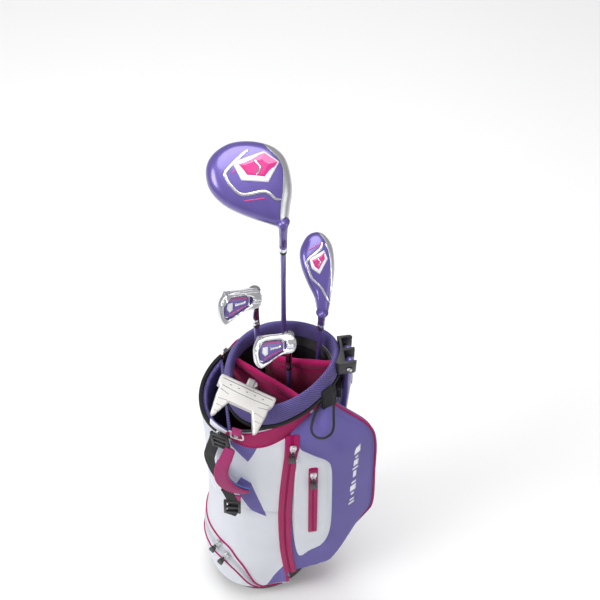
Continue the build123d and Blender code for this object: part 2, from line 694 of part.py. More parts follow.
def make_wood(name, outline, middle, layers, badge, hosel_r):
    """Hollow wood or hybrid: head with hosel, sole badge, ferrule, shaft and grip."""
    club = Club(name)
    sections = []
    for depth, share in layers:
        with BuildSketch(club.head_plane((0, 0, -depth))) as section:
            with BuildLine():
                Spline(*scaled_outline(outline, share, middle), periodic=True)
            make_face()
        sections.append(section.sketch)
    with BuildPart() as head:
        loft(sections=sections)
        with BuildSketch(club.at(club.shaft_length)):
            Circle(hosel_r)
        extrude(amount=club.sole_height - club.shaft_length - 2)
        with BuildSketch(club.at(club.shaft_length - 1)):
            Circle(SHAFT_R)
        extrude(amount=26, mode=Mode.SUBTRACT)
        with BuildSketch(club.head_plane()):
            with BuildLine():
                Polyline(*badge, close=True)
            make_face()
        extrude(amount=-2.5, mode=Mode.SUBTRACT)
    keep(head.part, f"{name}_head")
    with BuildPart() as sole_badge:
        with BuildSketch(club.head_plane((0, 0, -2.5))):
            with BuildLine():
                Polyline(*badge, close=True)
            make_face()
        extrude(amount=4.0)
    keep(sole_badge.part, f"{name}_badge")
    make_ferrule(club, hosel_r, 12)
    make_shaft_and_grip(club, 22)


def make_iron(name, loft_angle):
    """Cavity-back iron: head with hosel, cavity badge, ferrule, shaft and grip."""
    club = Club(name)
    lean = radians(loft_angle)
    up = club.sole * -1
    normal = club.face * cos(lean) + up * sin(lean)
    blade = Plane(origin=club.heel, x_dir=club.toe * -1, z_dir=normal)
    outline = [(7, 20), (7, 6), (0, -1), (-20, -2), (-44, 0), (-55, 7), (-58, 20), (-55, 35),
               (-49, 42), (-40, 39), (-8, 25)]
    cavity = [(-8, 19), (-9, 8), (-20, 5), (-44, 6), (-51, 12), (-53, 22), (-50, 34), (-45, 36), (-36, 33)]
    with BuildPart() as head:
        with BuildSketch(blade):
            with BuildLine():
                Spline(*outline, periodic=True)
            make_face()
        extrude(amount=-8)
        sole_end = club.head_plane((0, -4, 0))
        with BuildSketch(Plane(origin=sole_end.origin, x_dir=club.face, z_dir=club.toe)):
            with BuildLine():
                Polyline((0.5, -1.5), (-3, 9), (-17, 8), (-17.5, 3), (-10, -1.5), close=True)
            make_face()
        extrude(amount=56)
        with BuildSketch(blade.offset(-3)):
            with BuildLine():
                Polyline(*cavity, close=True)
            make_face()
        extrude(amount=-26, mode=Mode.SUBTRACT)
        with BuildSketch(club.at(club.shaft_length)):
            Circle(4.7)
        extrude(amount=club.sole_height - club.shaft_length - 1)
        with BuildSketch(club.at(club.shaft_length - 1)):
            Circle(SHAFT_R)
        extrude(amount=26, mode=Mode.SUBTRACT)
    keep(head.part.solids().sort_by(SortBy.VOLUME)[-1], f"{name}_head")
    with BuildPart() as badge:
        with BuildSketch(blade.offset(-3)):
            with BuildLine():
                Polyline(*scaled_outline(cavity, 0.86, (-32, 18)), close=True)
            make_face()
        extrude(amount=-2.4)
    keep(badge.part, f"{name}_badge")
    make_ferrule(club, 4.7, 11)
    make_shaft_and_grip(club, 22)


def make_putter():
    """Two-fang mallet putter with an offset neck."""
    club = Club("putter")
    plane = club.head_plane((-12, 1.5, 0))
    half = [(0, 40), (-3, 41.5), (-14, 41), (-17, 37), (-30, 37), (-59, 34), (-62, 31), (-59, 28), (-34, 17)]
    outline = half + [(x, -y) for x, y in half[::-1]]
    with BuildPart() as head:
        with BuildSketch(plane):
            with BuildLine():
                Polyline(*outline, close=True)
            make_face()
        extrude(amount=-7)
        with BuildSketch(plane):
            with Locations((-8, 0)):
                RectangleRounded(16, 81, 2)
        extrude(amount=-13)
        with BuildSketch(plane.offset(-12)):
            with Locations((1, -1.5)):
                RectangleRounded(32, 10, 2)
        extrude(amount=-7)
        with BuildSketch(club.at(club.sole_height - 36)):
            Circle(5.2)
        extrude(amount=20)
        with BuildSketch(club.at(club.sole_height - 37)):
            Circle(SHAFT_R)
        extrude(amount=16, mode=Mode.SUBTRACT)
    keep(head.part, "putter_head")
    club.shaft_length = club.sole_height - 36
    make_shaft_and_grip(club, 14)


make_base_tray()
make_body_shell()
make_stays()
make_top_collar()
make_top_frame()
make_putter_well(make_cuff())
main_divider = make_divider(MAIN_DIVIDER, MAIN_PANEL_LOW, "divider_main")
make_divider(SIDE_DIVIDER, SIDE_PANEL_LOW, "divider_side", main_divider)
pocket = make_apparel_pocket()
make_front_details(pocket)
make_ball_pocket()
make_trim()
make_strap()
make_stand()
DRIVER_OUTLINE = [(3, -9), (13, 18), (18.5, 38), (19, 63), (14, 83), (-1, 98), (-27, 107), (-53, 107),
                  (-75, 96), (-86, 78), (-85, 53), (-70, 31), (-44, 13), (-12, -3)]
DRIVER_BADGE = [(-11, 89), (6, 73), (-12, 49), (-45, 56), (-53, 80)]
DRIVER_LAYERS = [(0, 0.74), (4, 0.9), (14, 1.0), (30, 0.96), (42, 0.74), (50, 0.36)]
make_wood("driver", DRIVER_OUTLINE, (-30, 56), DRIVER_LAYERS, DRIVER_BADGE, 5.0)
HYBRID_OUTLINE = [(5, -7), (16, 27), (23, 60), (22, 90), (9, 108), (-9, 106), (-22, 87), (-23, 66),
                  (-17, 42), (-9, 20), (-6, 0)]
HYBRID_BADGE = [(-12, 72), (9, 82), (13, 70), (0, 50), (-10, 58)]
HYBRID_LAYERS = [(0, 0.72), (3, 0.9), (10, 1.0), (20, 0.92), (29, 0.5)]
make_wood("hybrid", HYBRID_OUTLINE, (0, 52), HYBRID_LAYERS, HYBRID_BADGE, 5.0)
make_iron("seven_iron", 33)
make_iron("sand_wedge", 44)
make_putter()
print(len(finished), "pieces")
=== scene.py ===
import json
from math import atan2, ceil, cos, hypot, pi, radians, sin, sqrt

import bmesh
import bpy
from mathutils import Matrix, Vector, noise
from mathutils.bvhtree import BVHTree


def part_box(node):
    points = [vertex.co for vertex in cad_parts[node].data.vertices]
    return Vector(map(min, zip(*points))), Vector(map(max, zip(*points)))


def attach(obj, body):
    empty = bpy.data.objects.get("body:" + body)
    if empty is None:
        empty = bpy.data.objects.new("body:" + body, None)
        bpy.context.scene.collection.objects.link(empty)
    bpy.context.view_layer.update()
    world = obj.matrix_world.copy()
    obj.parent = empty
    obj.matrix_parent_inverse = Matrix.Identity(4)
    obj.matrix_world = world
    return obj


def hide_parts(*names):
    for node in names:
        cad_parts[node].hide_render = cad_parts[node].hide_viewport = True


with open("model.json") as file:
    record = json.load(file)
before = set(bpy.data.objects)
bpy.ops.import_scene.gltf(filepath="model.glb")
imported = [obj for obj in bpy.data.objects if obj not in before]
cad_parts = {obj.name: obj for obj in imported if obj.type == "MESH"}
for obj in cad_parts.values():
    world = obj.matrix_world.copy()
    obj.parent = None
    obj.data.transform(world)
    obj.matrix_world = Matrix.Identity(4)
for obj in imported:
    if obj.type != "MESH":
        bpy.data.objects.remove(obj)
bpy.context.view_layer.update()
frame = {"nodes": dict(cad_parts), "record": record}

# A junior golf bag with five clubs. Shapes are worked out in millimetres and made in metres.
# +X is the side of the stand legs, -X the putter well, -Y the side with the big pockets.
MM = 0.001

# ---- camera, floor and light ----
VIEW_TARGET = Vector((0.066, 0.0, 0.790))
VIEW_TURN, VIEW_RISE, VIEW_DISTANCE, VIEW_LENS = radians(-8), radians(55.5), 1.48, 68.4

# ---- body of the bag, as in the part ----
BODY_HEIGHT = 600.0
BASE_EGG = (0.0, 88.0, 84.0, 0.10)       # middle x, half length, half width, taper towards +X
TOP_EGG = (17.0, 97.0, 80.0, 0.10)
CUFF_LOW_EGG = (40.0, 84.0, 77.0, 0.20)
CUFF_TOP_EGG = (40.0, 80.0, 69.0, 0.20)
CUFF_HOLE_EGG = (40.0, 71.0, 61.0, 0.20)
RIM_X, RIM_Z, RIM_SLOPE = 40.0, 645.0, 0.30
CUFF_DEEP, BINDING_DEEP, WELL_DROP = 33.0, 6.0, 57.0
COLLAR_DROP = CUFF_DEEP + BINDING_DEEP
WELL_X, WELL_FLOOR = -44.0, 300.0
CLOTH = 3.0
MAIN_DIVIDER = [(-34, 50), (14, -2), (64, -58)]
SIDE_DIVIDER = [(126, -18), (34, 24), (23, 74)]
WING_TOP = [(43, 576), (60, 592), (82, 603), (102, 602), (124, 572), (160, 520), (174, 467), (178, 363),
            (181, 250), (171, 204), (131, 116), (104, 94), (76, 84), (47, 78)]
ZIP_PATH = [(44, 572), (34, 455), (28, 333), (29, 200), (36, 90), (38, 44)]
PANEL = [(47, 549), (57, 543), (74, 524), (93, 504), (100, 478), (102, 414), (102, 276), (92, 214), (70, 190),
         (49, 174), (40, 300), (42, 420)]
POCKET_PROFILE = [(18, -88), (70, -99), (300, -99), (600, -88)]   # height, y of the pocket's front
BALL_SHARES = [(24, 0.45), (60, 0.95), (115, 1.0), (160, 0.85), (205, 0.4), (245, 0.08), (280, 0.0)]
BALL_SHIFT = (-17.0, -13.0)
BAND_LOW = [(-215, 126), (-166, 140), (-134, 142), (-117, 113), (-103, 54), (-96, 24)]     # turn, height
BAND_HIGH = [(-215, 182), (-180, 192), (-155, 197), (-130, 190), (-110, 143), (-95, 42), (-89, 20)]


# ---- shader building ----
class Shader:
    """A material's node tree around one Principled shader."""

    def __init__(self, name, rough=0.5, metal=0.0, **constant):
        self.material = bpy.data.materials.new(name)
        self.material.use_nodes = True
        self.nodes = self.material.node_tree.nodes
        self.links = self.material.node_tree.links
        self.main = self.nodes["Principled BSDF"]
        self.main.inputs["Roughness"].default_value = rough
        self.main.inputs["Metallic"].default_value = metal
        for key, value in constant.items():
            self.main.inputs[key.replace("_", " ")].default_value = value

    def add(self, kind, inputs=(), **settings):
        """A node with its settings; inputs are values or sockets, in order, None to leave one alone."""
        node = self.nodes.new("ShaderNode" + kind)
        for key, value in settings.items():
            setattr(node, key, value)
        for socket, value in zip(node.inputs, inputs):
            self.feed(socket, value)
        return node

    def feed(self, socket, value):
        """Join a node output to a socket, or set the socket to a plain value."""
        if isinstance(value, bpy.types.NodeSocket):
            self.links.new(value, socket)
        elif value is not None:
            socket.default_value = value

    def math(self, operation, *values, clamp=False):
        """Result of one arithmetic node."""
        return self.add("Math", values, operation=operation, use_clamp=clamp).outputs[0]

    def place(self, scale=1.0, by_uv=False):
        """Surface coordinates: the row frame in metres, or a piece's own cloth in millimetres."""
        out = self.add("TexCoord").outputs["UV" if by_uv else "Object"]
        return self.add("VectorMath", [out, (scale, scale, scale)], operation="MULTIPLY").outputs[0]

    def mix(self, share, low, high):
        """A colour between two others."""
        node = self.add("Mix", data_type="RGBA")
        self.feed(node.inputs[0], share)
        self.feed(node.inputs[6], low)
        self.feed(node.inputs[7], high)
        return node.outputs[2]

    def spread(self, value, low, high, to_low=0.0, to_high=1.0):
        """A value carried from one range to another."""
        return self.add("MapRange", [value, low, high, to_low, to_high]).outputs[0]

    def noise(self, place, scale, detail=3.0, rough=0.55):
        """Smooth unevenness over the surface."""
        return self.add("TexNoise", [place, None, scale, detail, rough]).outputs[0]

    def bump(self, height, distance, strength=1.0):
        """Relief too fine to be modelled."""
        node = self.add("Bump")
        node.inputs["Strength"].default_value = strength
        node.inputs["Distance"].default_value = distance
        self.links.new(height, node.inputs["Height"])
        self.links.new(node.outputs[0], self.main.inputs["Normal"])

    def colour(self, value):
        """Base colour, plain or from a node."""
        self.feed(self.main.inputs["Base Color"], value)


def tone(colour, factor):
    """A colour made lighter or darker."""
    return tuple(min(1.0, c * factor) for c in colour[:3]) + (1.0,)


def cloth_material(name, colour, thread=0.9, depth=0.00012, rough=0.8, wear=0.10, mottle=0.06):
    """Woven cloth: plain weave, faint unevenness of dye, and soiling in broad patches."""
    s = Shader(name, rough=rough, Sheen_Weight=0.06, Sheen_Roughness=0.4, Specular_IOR_Level=0.3)
    place = s.place(1000.0)
    axes = s.add("SeparateXYZ", [place]).outputs
    across = s.math("ADD", axes[0], axes[1])
    warp = s.math("SINE", s.math("MULTIPLY", across, 2 * pi / thread))
    weft = s.math("SINE", s.math("MULTIPLY", axes[2], 2 * pi / thread))
    weave = s.math("MULTIPLY", warp, weft)
    patches = s.noise(place, 0.012)
    grain = s.noise(place, 0.9, 2.0)
    base = s.mix(s.spread(patches, 0.3, 0.7), tone(colour, 1 - wear), tone(colour, 1 + wear / 2))
    base = s.mix(s.math("MULTIPLY", s.spread(weave, -1, 1), mottle * 4, clamp=True), base, tone(colour, 0.78))
    s.colour(base)
    s.links.new(s.spread(grain, 0.2, 0.8, rough - 0.1, min(1, rough + 0.08)), s.main.inputs["Roughness"])
    s.bump(s.math("ADD", weave, s.math("MULTIPLY", grain, 0.8)), depth, 0.7)
    return s.material


def mesh_material(name, colour, cell=2.6):
    """Spacer mesh: rows of small holes in a knitted face, the holes painted near black as painted shade
    inside them.
    """
    s = Shader(name, rough=0.75, Sheen_Weight=0.08, Sheen_Roughness=0.5, Specular_IOR_Level=0.3)
    place = s.place(1.0 / cell, by_uv=True)
    turned = s.add("Mapping", [place])
    turned.inputs["Rotation"].default_value = (0, 0, radians(45))
    cells = s.add("TexVoronoi", [turned.outputs[0], None, 1.0], feature="F1")
    cells.inputs["Randomness"].default_value = 0.0
    far = cells.outputs["Distance"]
    hole = s.spread(far, 0.24, 0.42, 1.0, 0.0)
    patches = s.noise(s.place(1000.0), 0.03)
    face = s.mix(s.spread(patches, 0.3, 0.7), tone(colour, 0.85), tone(colour, 1.12))
    # painted shade: the holes take a near-black copy of the cloth colour
    s.colour(s.mix(hole, face, tone(colour, 0.12)))
    s.bump(s.math("MULTIPLY", hole, -1.0), 0.0012, 0.9)
    return s.material


def fleece_material(name, colour):
    """Short brushed pile."""
    s = Shader(name, rough=0.95, Sheen_Weight=0.15, Sheen_Roughness=0.4, Specular_IOR_Level=0.2)
    place = s.place(1000.0)
    pile = s.noise(place, 1.1, 4.0, 0.7)
    tufts = s.noise(place, 0.25, 2.0)
    s.colour(s.mix(s.spread(pile, 0.3, 0.7), tone(colour, 0.72), tone(colour, 1.15)))
    s.bump(s.math("ADD", pile, s.math("MULTIPLY", tufts, 1.5)), 0.0008, 0.9)
    return s.material


def webbing_material(name, colour, rib=1.6, contrast=0.32):
    """Ribbed webbing; the ribs run along the piece's own length."""
    s = Shader(name, rough=0.7, Sheen_Weight=0.05, Sheen_Roughness=0.4, Specular_IOR_Level=0.3)
    axes = s.add("SeparateXYZ", [s.place(1.0, by_uv=True)]).outputs
    ribs = s.math("SINE", s.math("MULTIPLY", axes[0], 2 * pi / rib))
    picks = s.math("SINE", s.math("MULTIPLY", axes[1], 2 * pi / 0.9))
    grain = s.noise(s.place(1000.0), 0.6, 2.0)
    s.colour(s.mix(s.spread(ribs, -1, 1), tone(colour, 1 - contrast), tone(colour, 1 + contrast)))
    s.bump(s.math("ADD", ribs, s.math("ADD", s.math("MULTIPLY", picks, 0.35), grain)), 0.0002, 0.8)
    return s.material


def plastic_material(name, colour, rough=0.42):
    """Moulded plastic with a fine spark texture and slight wear."""
    s = Shader(name, rough=rough, Specular_IOR_Level=0.5)
    place = s.place(1000.0)
    grain = s.noise(place, 0.9, 3.0, 0.6)
    scuffs = s.noise(place, 0.06, 4.0, 0.7)
    s.colour(s.mix(s.spread(scuffs, 0.45, 0.75), tone(colour, 0.9), tone(colour, 1.6)))
    s.links.new(s.spread(scuffs, 0.3, 0.7, rough - 0.06, rough + 0.12), s.main.inputs["Roughness"])
    s.bump(grain, 0.00008, 0.6)
    return s.material


def metal_material(name, colour, rough, brush=None, depth=0.00004):
    """Bare metal: fine brushing across the given scale, and slightly uneven polish."""
    s = Shader(name, rough=rough, metal=1.0)
    place = s.place(1000.0)
    if brush:
        place = s.add("VectorMath", [place, brush], operation="MULTIPLY").outputs[0]
    lines = s.noise(place, 0.8, 4.0, 0.65)
    broad = s.noise(s.place(1000.0), 0.03, 2.0)
    s.colour(s.mix(s.spread(broad, 0.3, 0.7), tone(colour, 0.94), tone(colour, 1.05)))
    s.links.new(s.spread(lines, 0.2, 0.8, max(0.05, rough - 0.08), rough + 0.1), s.main.inputs["Roughness"])
    s.bump(lines, depth, 0.5)
    return s.material


def paint_material(name, colour, rough=0.22, flake=0.35):
    """Gloss metallic paint under a clear coat."""
    s = Shader(name, rough=rough + 0.12, metal=flake, Coat_Weight=0.8, Coat_Roughness=0.08)
    place = s.place(1000.0)
    flakes = s.add("TexVoronoi", [place, None, 2.2]).outputs["Color"]
    sparkle = s.add("SeparateXYZ", [flakes]).outputs[0]
    broad = s.noise(place, 0.02, 2.0)
    base = s.mix(s.spread(broad, 0.3, 0.7), tone(colour, 0.92), tone(colour, 1.08))
    s.colour(s.mix(s.spread(sparkle, 0.7, 1.0, 0.0, 0.35), base, tone(colour, 1.5)))
    s.bump(s.noise(place, 0.35, 2.0), 0.00002, 0.4)
    return s.material


PURPLE, MAGENTA = (0.155, 0.130, 0.42), (0.43, 0.006, 0.115)
WHITE, BLACK = (0.78, 0.80, 0.87), (0.012, 0.012, 0.014)
LOOKS = {
    "white_fabric": cloth_material("white_fabric", WHITE, mottle=0.02, wear=0.04),
    "purple_fabric": cloth_material("purple_fabric", PURPLE, mottle=0.05),
    "magenta_fabric": cloth_material("magenta_fabric", MAGENTA, mottle=0.05),
    "mesh_fabric": mesh_material("mesh_fabric", (0.16, 0.125, 0.42)),
    "fleece": fleece_material("fleece", (0.44, 0.010, 0.11)),
    "webbing": webbing_material("webbing", BLACK),
    "pink_webbing": webbing_material("pink_webbing", (0.42, 0.035, 0.17)),
    "piping": cloth_material("piping", (0.46, 0.015, 0.14), thread=0.7),
    "zip_tape": webbing_material("zip_tape", (0.43, 0.006, 0.12), rib=1.3, contrast=0.1),
    "zip_band": webbing_material("zip_band", (0.62, 0.63, 0.70), rib=2.0),
    "black_plastic": plastic_material("black_plastic", BLACK),
    "grey_plastic": plastic_material("grey_plastic", (0.06, 0.06, 0.065)),
    "elastic": webbing_material("elastic", (0.02, 0.02, 0.022), rib=1.0),
    "rubber": plastic_material("rubber", (0.016, 0.016, 0.018), rough=0.7),
    "grip_rubber": plastic_material("grip_rubber", (0.03, 0.028, 0.035), rough=0.75),
    "steel": metal_material("steel", (0.66, 0.66, 0.67), 0.28),
    "chrome": metal_material("chrome", (0.80, 0.81, 0.84), 0.16, brush=(1, 1, 4)),
    "purple_paint": paint_material("purple_paint", (0.11, 0.075, 0.30)),
    "shaft_paint": paint_material("shaft_paint", (0.13, 0.10, 0.36), flake=0.2),
    "badge_paint": paint_material("badge_paint", (0.55, 0.02, 0.20), flake=0.1),
    "cavity_paint": paint_material("cavity_paint", (0.12, 0.09, 0.34), flake=0.2),
    "putter_metal": metal_material("putter_metal", (0.60, 0.585, 0.565), 0.42, depth=0.00006),
    "fibreglass": plastic_material("fibreglass", (0.6, 0.58, 0.5), rough=0.5),
    "silver_paint": metal_material("silver_paint", (0.80, 0.80, 0.84), 0.22),
    "brushed_face": metal_material("brushed_face", (0.58, 0.585, 0.62), 0.30, brush=(3, 0.4, 3)),
    "white_paint": paint_material("white_paint", (0.80, 0.80, 0.84), flake=0.1),
    # painted shade: near black laid where engraved grooves, dots and screw recesses sit in shadow
    "engraving_shade": plastic_material("engraving_shade", (0.02, 0.02, 0.022), rough=0.5),
    "blue_lining": cloth_material("blue_lining", (0.10, 0.20, 0.56), mottle=0.04),
    "dark_lining": cloth_material("dark_lining", (0.016, 0.010, 0.020), mottle=0.04),
}


# ---- mesh building ----
def piece(name, points, faces, look, uvs=None, body="bag", stands_for=(), slot=None):
    """A mesh object from points in millimetres, riding on its body."""
    mesh = bpy.data.meshes.new(name)
    mesh.from_pydata([Vector(p) * MM for p in points], [], faces)
    if uvs:
        layer = mesh.uv_layers.new(name="UVMap")
        for loop in mesh.loops:
            layer.data[loop.index].uv = uvs[loop.vertex_index]
    made = bpy.data.objects.new(name, mesh)
    bpy.context.scene.collection.objects.link(made)
    return settle(made, look, body, stands_for)


def settle(made, look, body="bag", stands_for=()):
    """Normals outward, material, body and the CAD nodes that the piece stands for."""
    work = bmesh.new()
    work.from_mesh(made.data)
    bmesh.ops.recalc_face_normals(work, faces=work.faces)
    work.to_mesh(made.data)
    work.free()
    made.data.shade_smooth()
    made.data.materials.clear()
    made.data.materials.append(LOOKS[look])
    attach(made, body)
    if stands_for:
        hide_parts(*stands_for)
    return made


def lattice(rows, loop_rows=False, loop_columns=False, start=0):
    """Faces between rows of points of equal length, laid one after another."""
    count, width = len(rows), len(rows[0])
    faces = []
    for i in range(count if loop_rows else count - 1):
        for j in range(width if loop_columns else width - 1):
            a, b = i * width, ((i + 1) % count) * width
            k = (j + 1) % width
            faces.append((start + a + j, start + a + k, start + b + k, start + b + j))
    return faces


def ring_piece(name, rows, look, caps=True, **settings):
    """A tube of rings, closed at both ends; uv runs round the rings and along the tube in millimetres."""
    points = [p for row in rows for p in row]
    width = len(rows[0])
    faces = lattice(rows, loop_columns=True)
    if caps:
        faces += [tuple(range(width)), tuple(range((len(rows) - 1) * width, len(rows) * width))]
    uvs, along = [], 0.0
    for i, row in enumerate(rows):
        if i:
            along += sum((Vector(a) - Vector(b)).length for a, b in zip(row, rows[i - 1])) / width
        round_way = 0.0
        for j, p in enumerate(row):
            if j:
                round_way += (Vector(p) - Vector(row[j - 1])).length
            uvs.append((round_way, along))
    return piece(name, points, faces, look, uvs=uvs, **settings)


def curve_points(points, steps=8, closed=False):
    """A smooth line through the given points."""
    points = [Vector(p) for p in points]
    count = len(points)
    line = []
    for i in range(count if closed else count - 1):
        if closed:
            a, b, c, d = (points[(i + k) % count] for k in (-1, 0, 1, 2))
        else:
            a, b, c, d = (points[min(max(i + k, 0), count - 1)] for k in (-1, 0, 1, 2))
        for k in range(steps):
            t = k / steps
            line.append(0.5 * (2 * b + (c - a) * t + (2 * a - 5 * b + 4 * c - d) * t**2
                               + (3 * b - a - 3 * c + d) * t**3))
    return line if closed else line + [points[-1]]


def even_points(line, step, closed=False):
    """The line again, with its points the same distance apart."""
    line = [Vector(p) for p in line] + ([Vector(line[0])] if closed else [])
    lengths = [0.0]
    for a, b in zip(line, line[1:]):
        lengths.append(lengths[-1] + (b - a).length)
    count = max(2, round(lengths[-1] / step))
    result, k = [], 0
    for i in range(count if closed else count + 1):
        want = lengths[-1] * i / count
        while k < len(line) - 2 and lengths[k + 1] < want:
            k += 1
        span = lengths[k + 1] - lengths[k]
        result.append(line[k].lerp(line[k + 1], (want - lengths[k]) / span if span else 0))
    return result


def directions(line, closed=False):
    """The way along the line at each of its points."""
    count = len(line)
    result = []
    for i in range(count):
        before = line[(i - 1) % count] if closed else line[max(i - 1, 0)]
        after = line[(i + 1) % count] if closed else line[min(i + 1, count - 1)]
        result.append((after - before).normalized())
    return result


def sweep(name, line, outs, profile, look, closed=False, scale=None, **settings):
    """A solid with a profile (across, out) carried along a line; outs are the ways that count as out."""
    rows = []
    for i, (point, along) in enumerate(zip(line, directions(line, closed))):
        out = outs[i] if isinstance(outs, list) else outs
        across = along.cross(out).normalized()
        out = across.cross(along).normalized()
        k = scale(i / (len(line) - 1)) if scale else 1.0
        rows.append([point + across * (a * k) + out * (b * k) for a, b in profile])
    if not closed:
        return ring_piece(name, rows, look, **settings)
    points = [p for row in rows for p in row]
    uvs = [(j * 2.0, i * 2.0) for i in range(len(rows)) for j in range(len(profile))]
    return piece(name, points, lattice(rows, True, True), look, uvs=uvs, **settings)


def rounded(half_width, half_height, corner, steps=3, base=0.0):
    """Rounded rectangle profile, from across, out; base lifts it."""
    points = []
    for quarter, (sx, sy) in enumerate(((1, 1), (-1, 1), (-1, -1), (1, -1))):
        for k in range(steps + 1):
            t = pi / 2 * (quarter + k / steps)
            points.append((sx * (half_width - corner) + corner * cos(t),
                           base + sy * (half_height - corner) + corner * sin(t)))
    return points


def circle(radius, sides=10, base=0.0):
    """Round profile, from across, out; base lifts it."""
    return [(radius * cos(2 * pi * i / sides), base + radius * sin(2 * pi * i / sides)) for i in range(sides)]


def edge_distance(point, edges):
    """Distance in a plane from a point to the nearest of some edges."""
    x, y = point
    best = 1e9
    for (ax, ay), (bx, by) in edges:
        dx, dy = bx - ax, by - ay
        t = max(0.0, min(1.0, ((x - ax) * dx + (y - ay) * dy) / (dx * dx + dy * dy)))
        best = min(best, hypot(x - ax - t * dx, y - ay - t * dy))
    return best


def cut_piece(name, outline, step, insets, top, bottom, look, **settings):
    """A closed piece cut to an outline in a plane; functions of (u, v, edge distance) lay top and bottom."""
    work = bmesh.new()
    work.faces.new([work.verts.new((x, y, 0)) for x, y in outline])
    work.normal_update()
    if work.faces[:][0].normal.z < 0:
        bmesh.ops.reverse_faces(work, faces=work.faces[:])
    inner = work.faces[:]
    for width in insets:
        bmesh.ops.inset_region(work, faces=inner, thickness=width, use_even_offset=True)
    low = [min(p[k] for p in outline) for k in (0, 1)]
    high = [max(p[k] for p in outline) for k in (0, 1)]
    for k in (0, 1):
        count = max(1, ceil((high[k] - low[k]) / step))
        for i in range(1, count):
            spot, normal = [0.0, 0.0, 0.0], [0.0, 0.0, 0.0]
            spot[k], normal[k] = low[k] + (high[k] - low[k]) * i / count, 1.0
            parts = work.verts[:] + work.edges[:] + work.faces[:]
            bmesh.ops.bisect_plane(work, geom=parts, plane_co=spot, plane_no=normal, dist=0.02)
    bmesh.ops.triangulate(work, faces=[f for f in work.faces if len(f.verts) > 4])
    work.verts.index_update()
    edges = list(zip(outline, outline[1:] + outline[:1]))
    flat = [(v.co.x, v.co.y) for v in work.verts]
    depth = [edge_distance(p, edges) for p in flat]
    count = len(flat)
    points = [top(u, v, d) for (u, v), d in zip(flat, depth)] + [bottom(u, v) for u, v in flat]
    faces = [tuple(v.index for v in f.verts) for f in work.faces]
    faces += [tuple(i + count for i in reversed(f)) for f in faces]
    for e in work.edges:
        if len(e.link_faces) == 1:
            a, b = (v.index for v in e.verts)
            faces.append((a, b, b + count, a + count))
    work.free()
    return piece(name, points, faces, look, uvs=flat + flat, **settings)


def solid_of(made):
    """A tree to find points on a piece, in millimetres."""
    mesh = made.data
    return BVHTree.FromPolygons([v.co / MM for v in mesh.vertices],
                                [tuple(p.vertices) for p in mesh.polygons])


def decal(name, outline, plane, tree, look, lift=0.6, step=4.0, edge=0.8, sink=0.4, crown=0.0, **settings):
    """A thin piece laid on a surface: plane is (origin, u, v), and it is laid against u x v."""
    origin, u_way, v_way = plane
    out = u_way.cross(v_way).normalized()

    def find(u, v):
        start = origin + u_way * u + v_way * v + out * 200
        spot, normal, _, _ = tree.ray_cast(start, -out)
        if spot is None:
            spot, normal, _, _ = tree.find_nearest(origin + u_way * u + v_way * v)
        return spot, normal if normal.dot(out) > 0 else -normal

    def top(u, v, d):
        spot, normal = find(u, v)
        swell = sqrt(max(0.0, 1 - (1 - min(1.0, d / edge)) ** 2))
        return spot + normal * (lift * (0.25 + 0.75 * swell) + crown * min(1.0, d / 12))

    def bottom(u, v):
        spot, normal = find(u, v)
        return spot - normal * sink

    return cut_piece(name, outline, step, (edge * 0.35, edge * 0.65), top, bottom, look, **settings)


def strip(path, widths):
    """Outline of a strip along a bent path; widths is one half width or one for each point."""
    if not isinstance(widths, (list, tuple)):
        widths = [widths] * len(path)
    sides = ([], [])
    for i in range(len(path)):
        before, here, after = (Vector(path[min(max(i + k, 0), len(path) - 1)]) for k in (-1, 0, 1))
        along = (after - before).normalized()
        for side, sign in zip(sides, (1, -1)):
            side.append((here.x - sign * widths[i] * along.y, here.y + sign * widths[i] * along.x))
    return sides[0] + sides[1][::-1]


def blend_value(table, x):
    """A value read between the rows of a short table, with smooth steps."""
    if x <= table[0][0]:
        return table[0][1]
    for (a, low), (b, high) in zip(table, table[1:]):
        if x <= b:
            t = (x - a) / (b - a)
            return low + (high - low) * t
    return table[-1][1]


def smooth_value(table, x, reach):
    """The same, averaged over a reach so that its corners are round."""
    steps = (-1, -0.6, -0.3, 0, 0.3, 0.6, 1)
    return sum(blend_value(table, x + reach * k) for k in steps) / len(steps)


def ripple(point, size, amount, seed=0.0):
    """Smooth unevenness of a surface."""
    return amount * noise.noise(Vector(point) / size + Vector((seed, seed * 0.7, seed * 1.3)))


# ---- shape of the bag ----
def egg(outline, turn, grow=0.0):
    """Point of an egg-shaped outline at a turn about its middle."""
    mid_x, half_x, half_y, taper = outline
    return (mid_x + (half_x + grow) * cos(turn), (half_y + grow) * sin(turn) * (1 - taper * cos(turn)))


def body_egg(level):
    """The body's outline at a height."""
    share = level / BODY_HEIGHT
    return tuple(low + (high - low) * share for low, high in zip(BASE_EGG, TOP_EGG))


def on_body(turn, level, grow=0.0):
    """Point on the body's side, grown outwards."""
    x, y = egg(body_egg(level), turn, grow)
    return Vector((x, y, level))


def outward(outline, turn):
    """Level way out of an outline at a turn."""
    return Vector((cos(turn) / outline[1], sin(turn) / outline[2], 0)).normalized()


def rim(x, drop):
    """Height of the cuff's sloping rim plane, lowered by drop."""
    return RIM_Z - drop + RIM_SLOPE * (x - RIM_X)


def body_y(x, level, grow=0.0):
    """The body's front surface at a height; it flattens out past the body's ends."""
    mid_x, half_x, half_y, taper = body_egg(level)
    c = max(-0.97, min(0.97, (x - mid_x) / (half_x + grow)))
    return -(half_y + grow) * sqrt(1 - c * c) * (1 - taper * c)


def turns(count, first=0.0, last=360.0):
    """Evenly spaced turns in radians; a full circle leaves its last one out."""
    closed = last - first >= 360
    return [radians(first + (last - first) * i / (count if closed else count - 1)) for i in range(count)]


def zip_x(level):
    """Where the main zip runs at a height."""
    return blend_value(sorted((z, x) for x, z in ZIP_PATH), level)


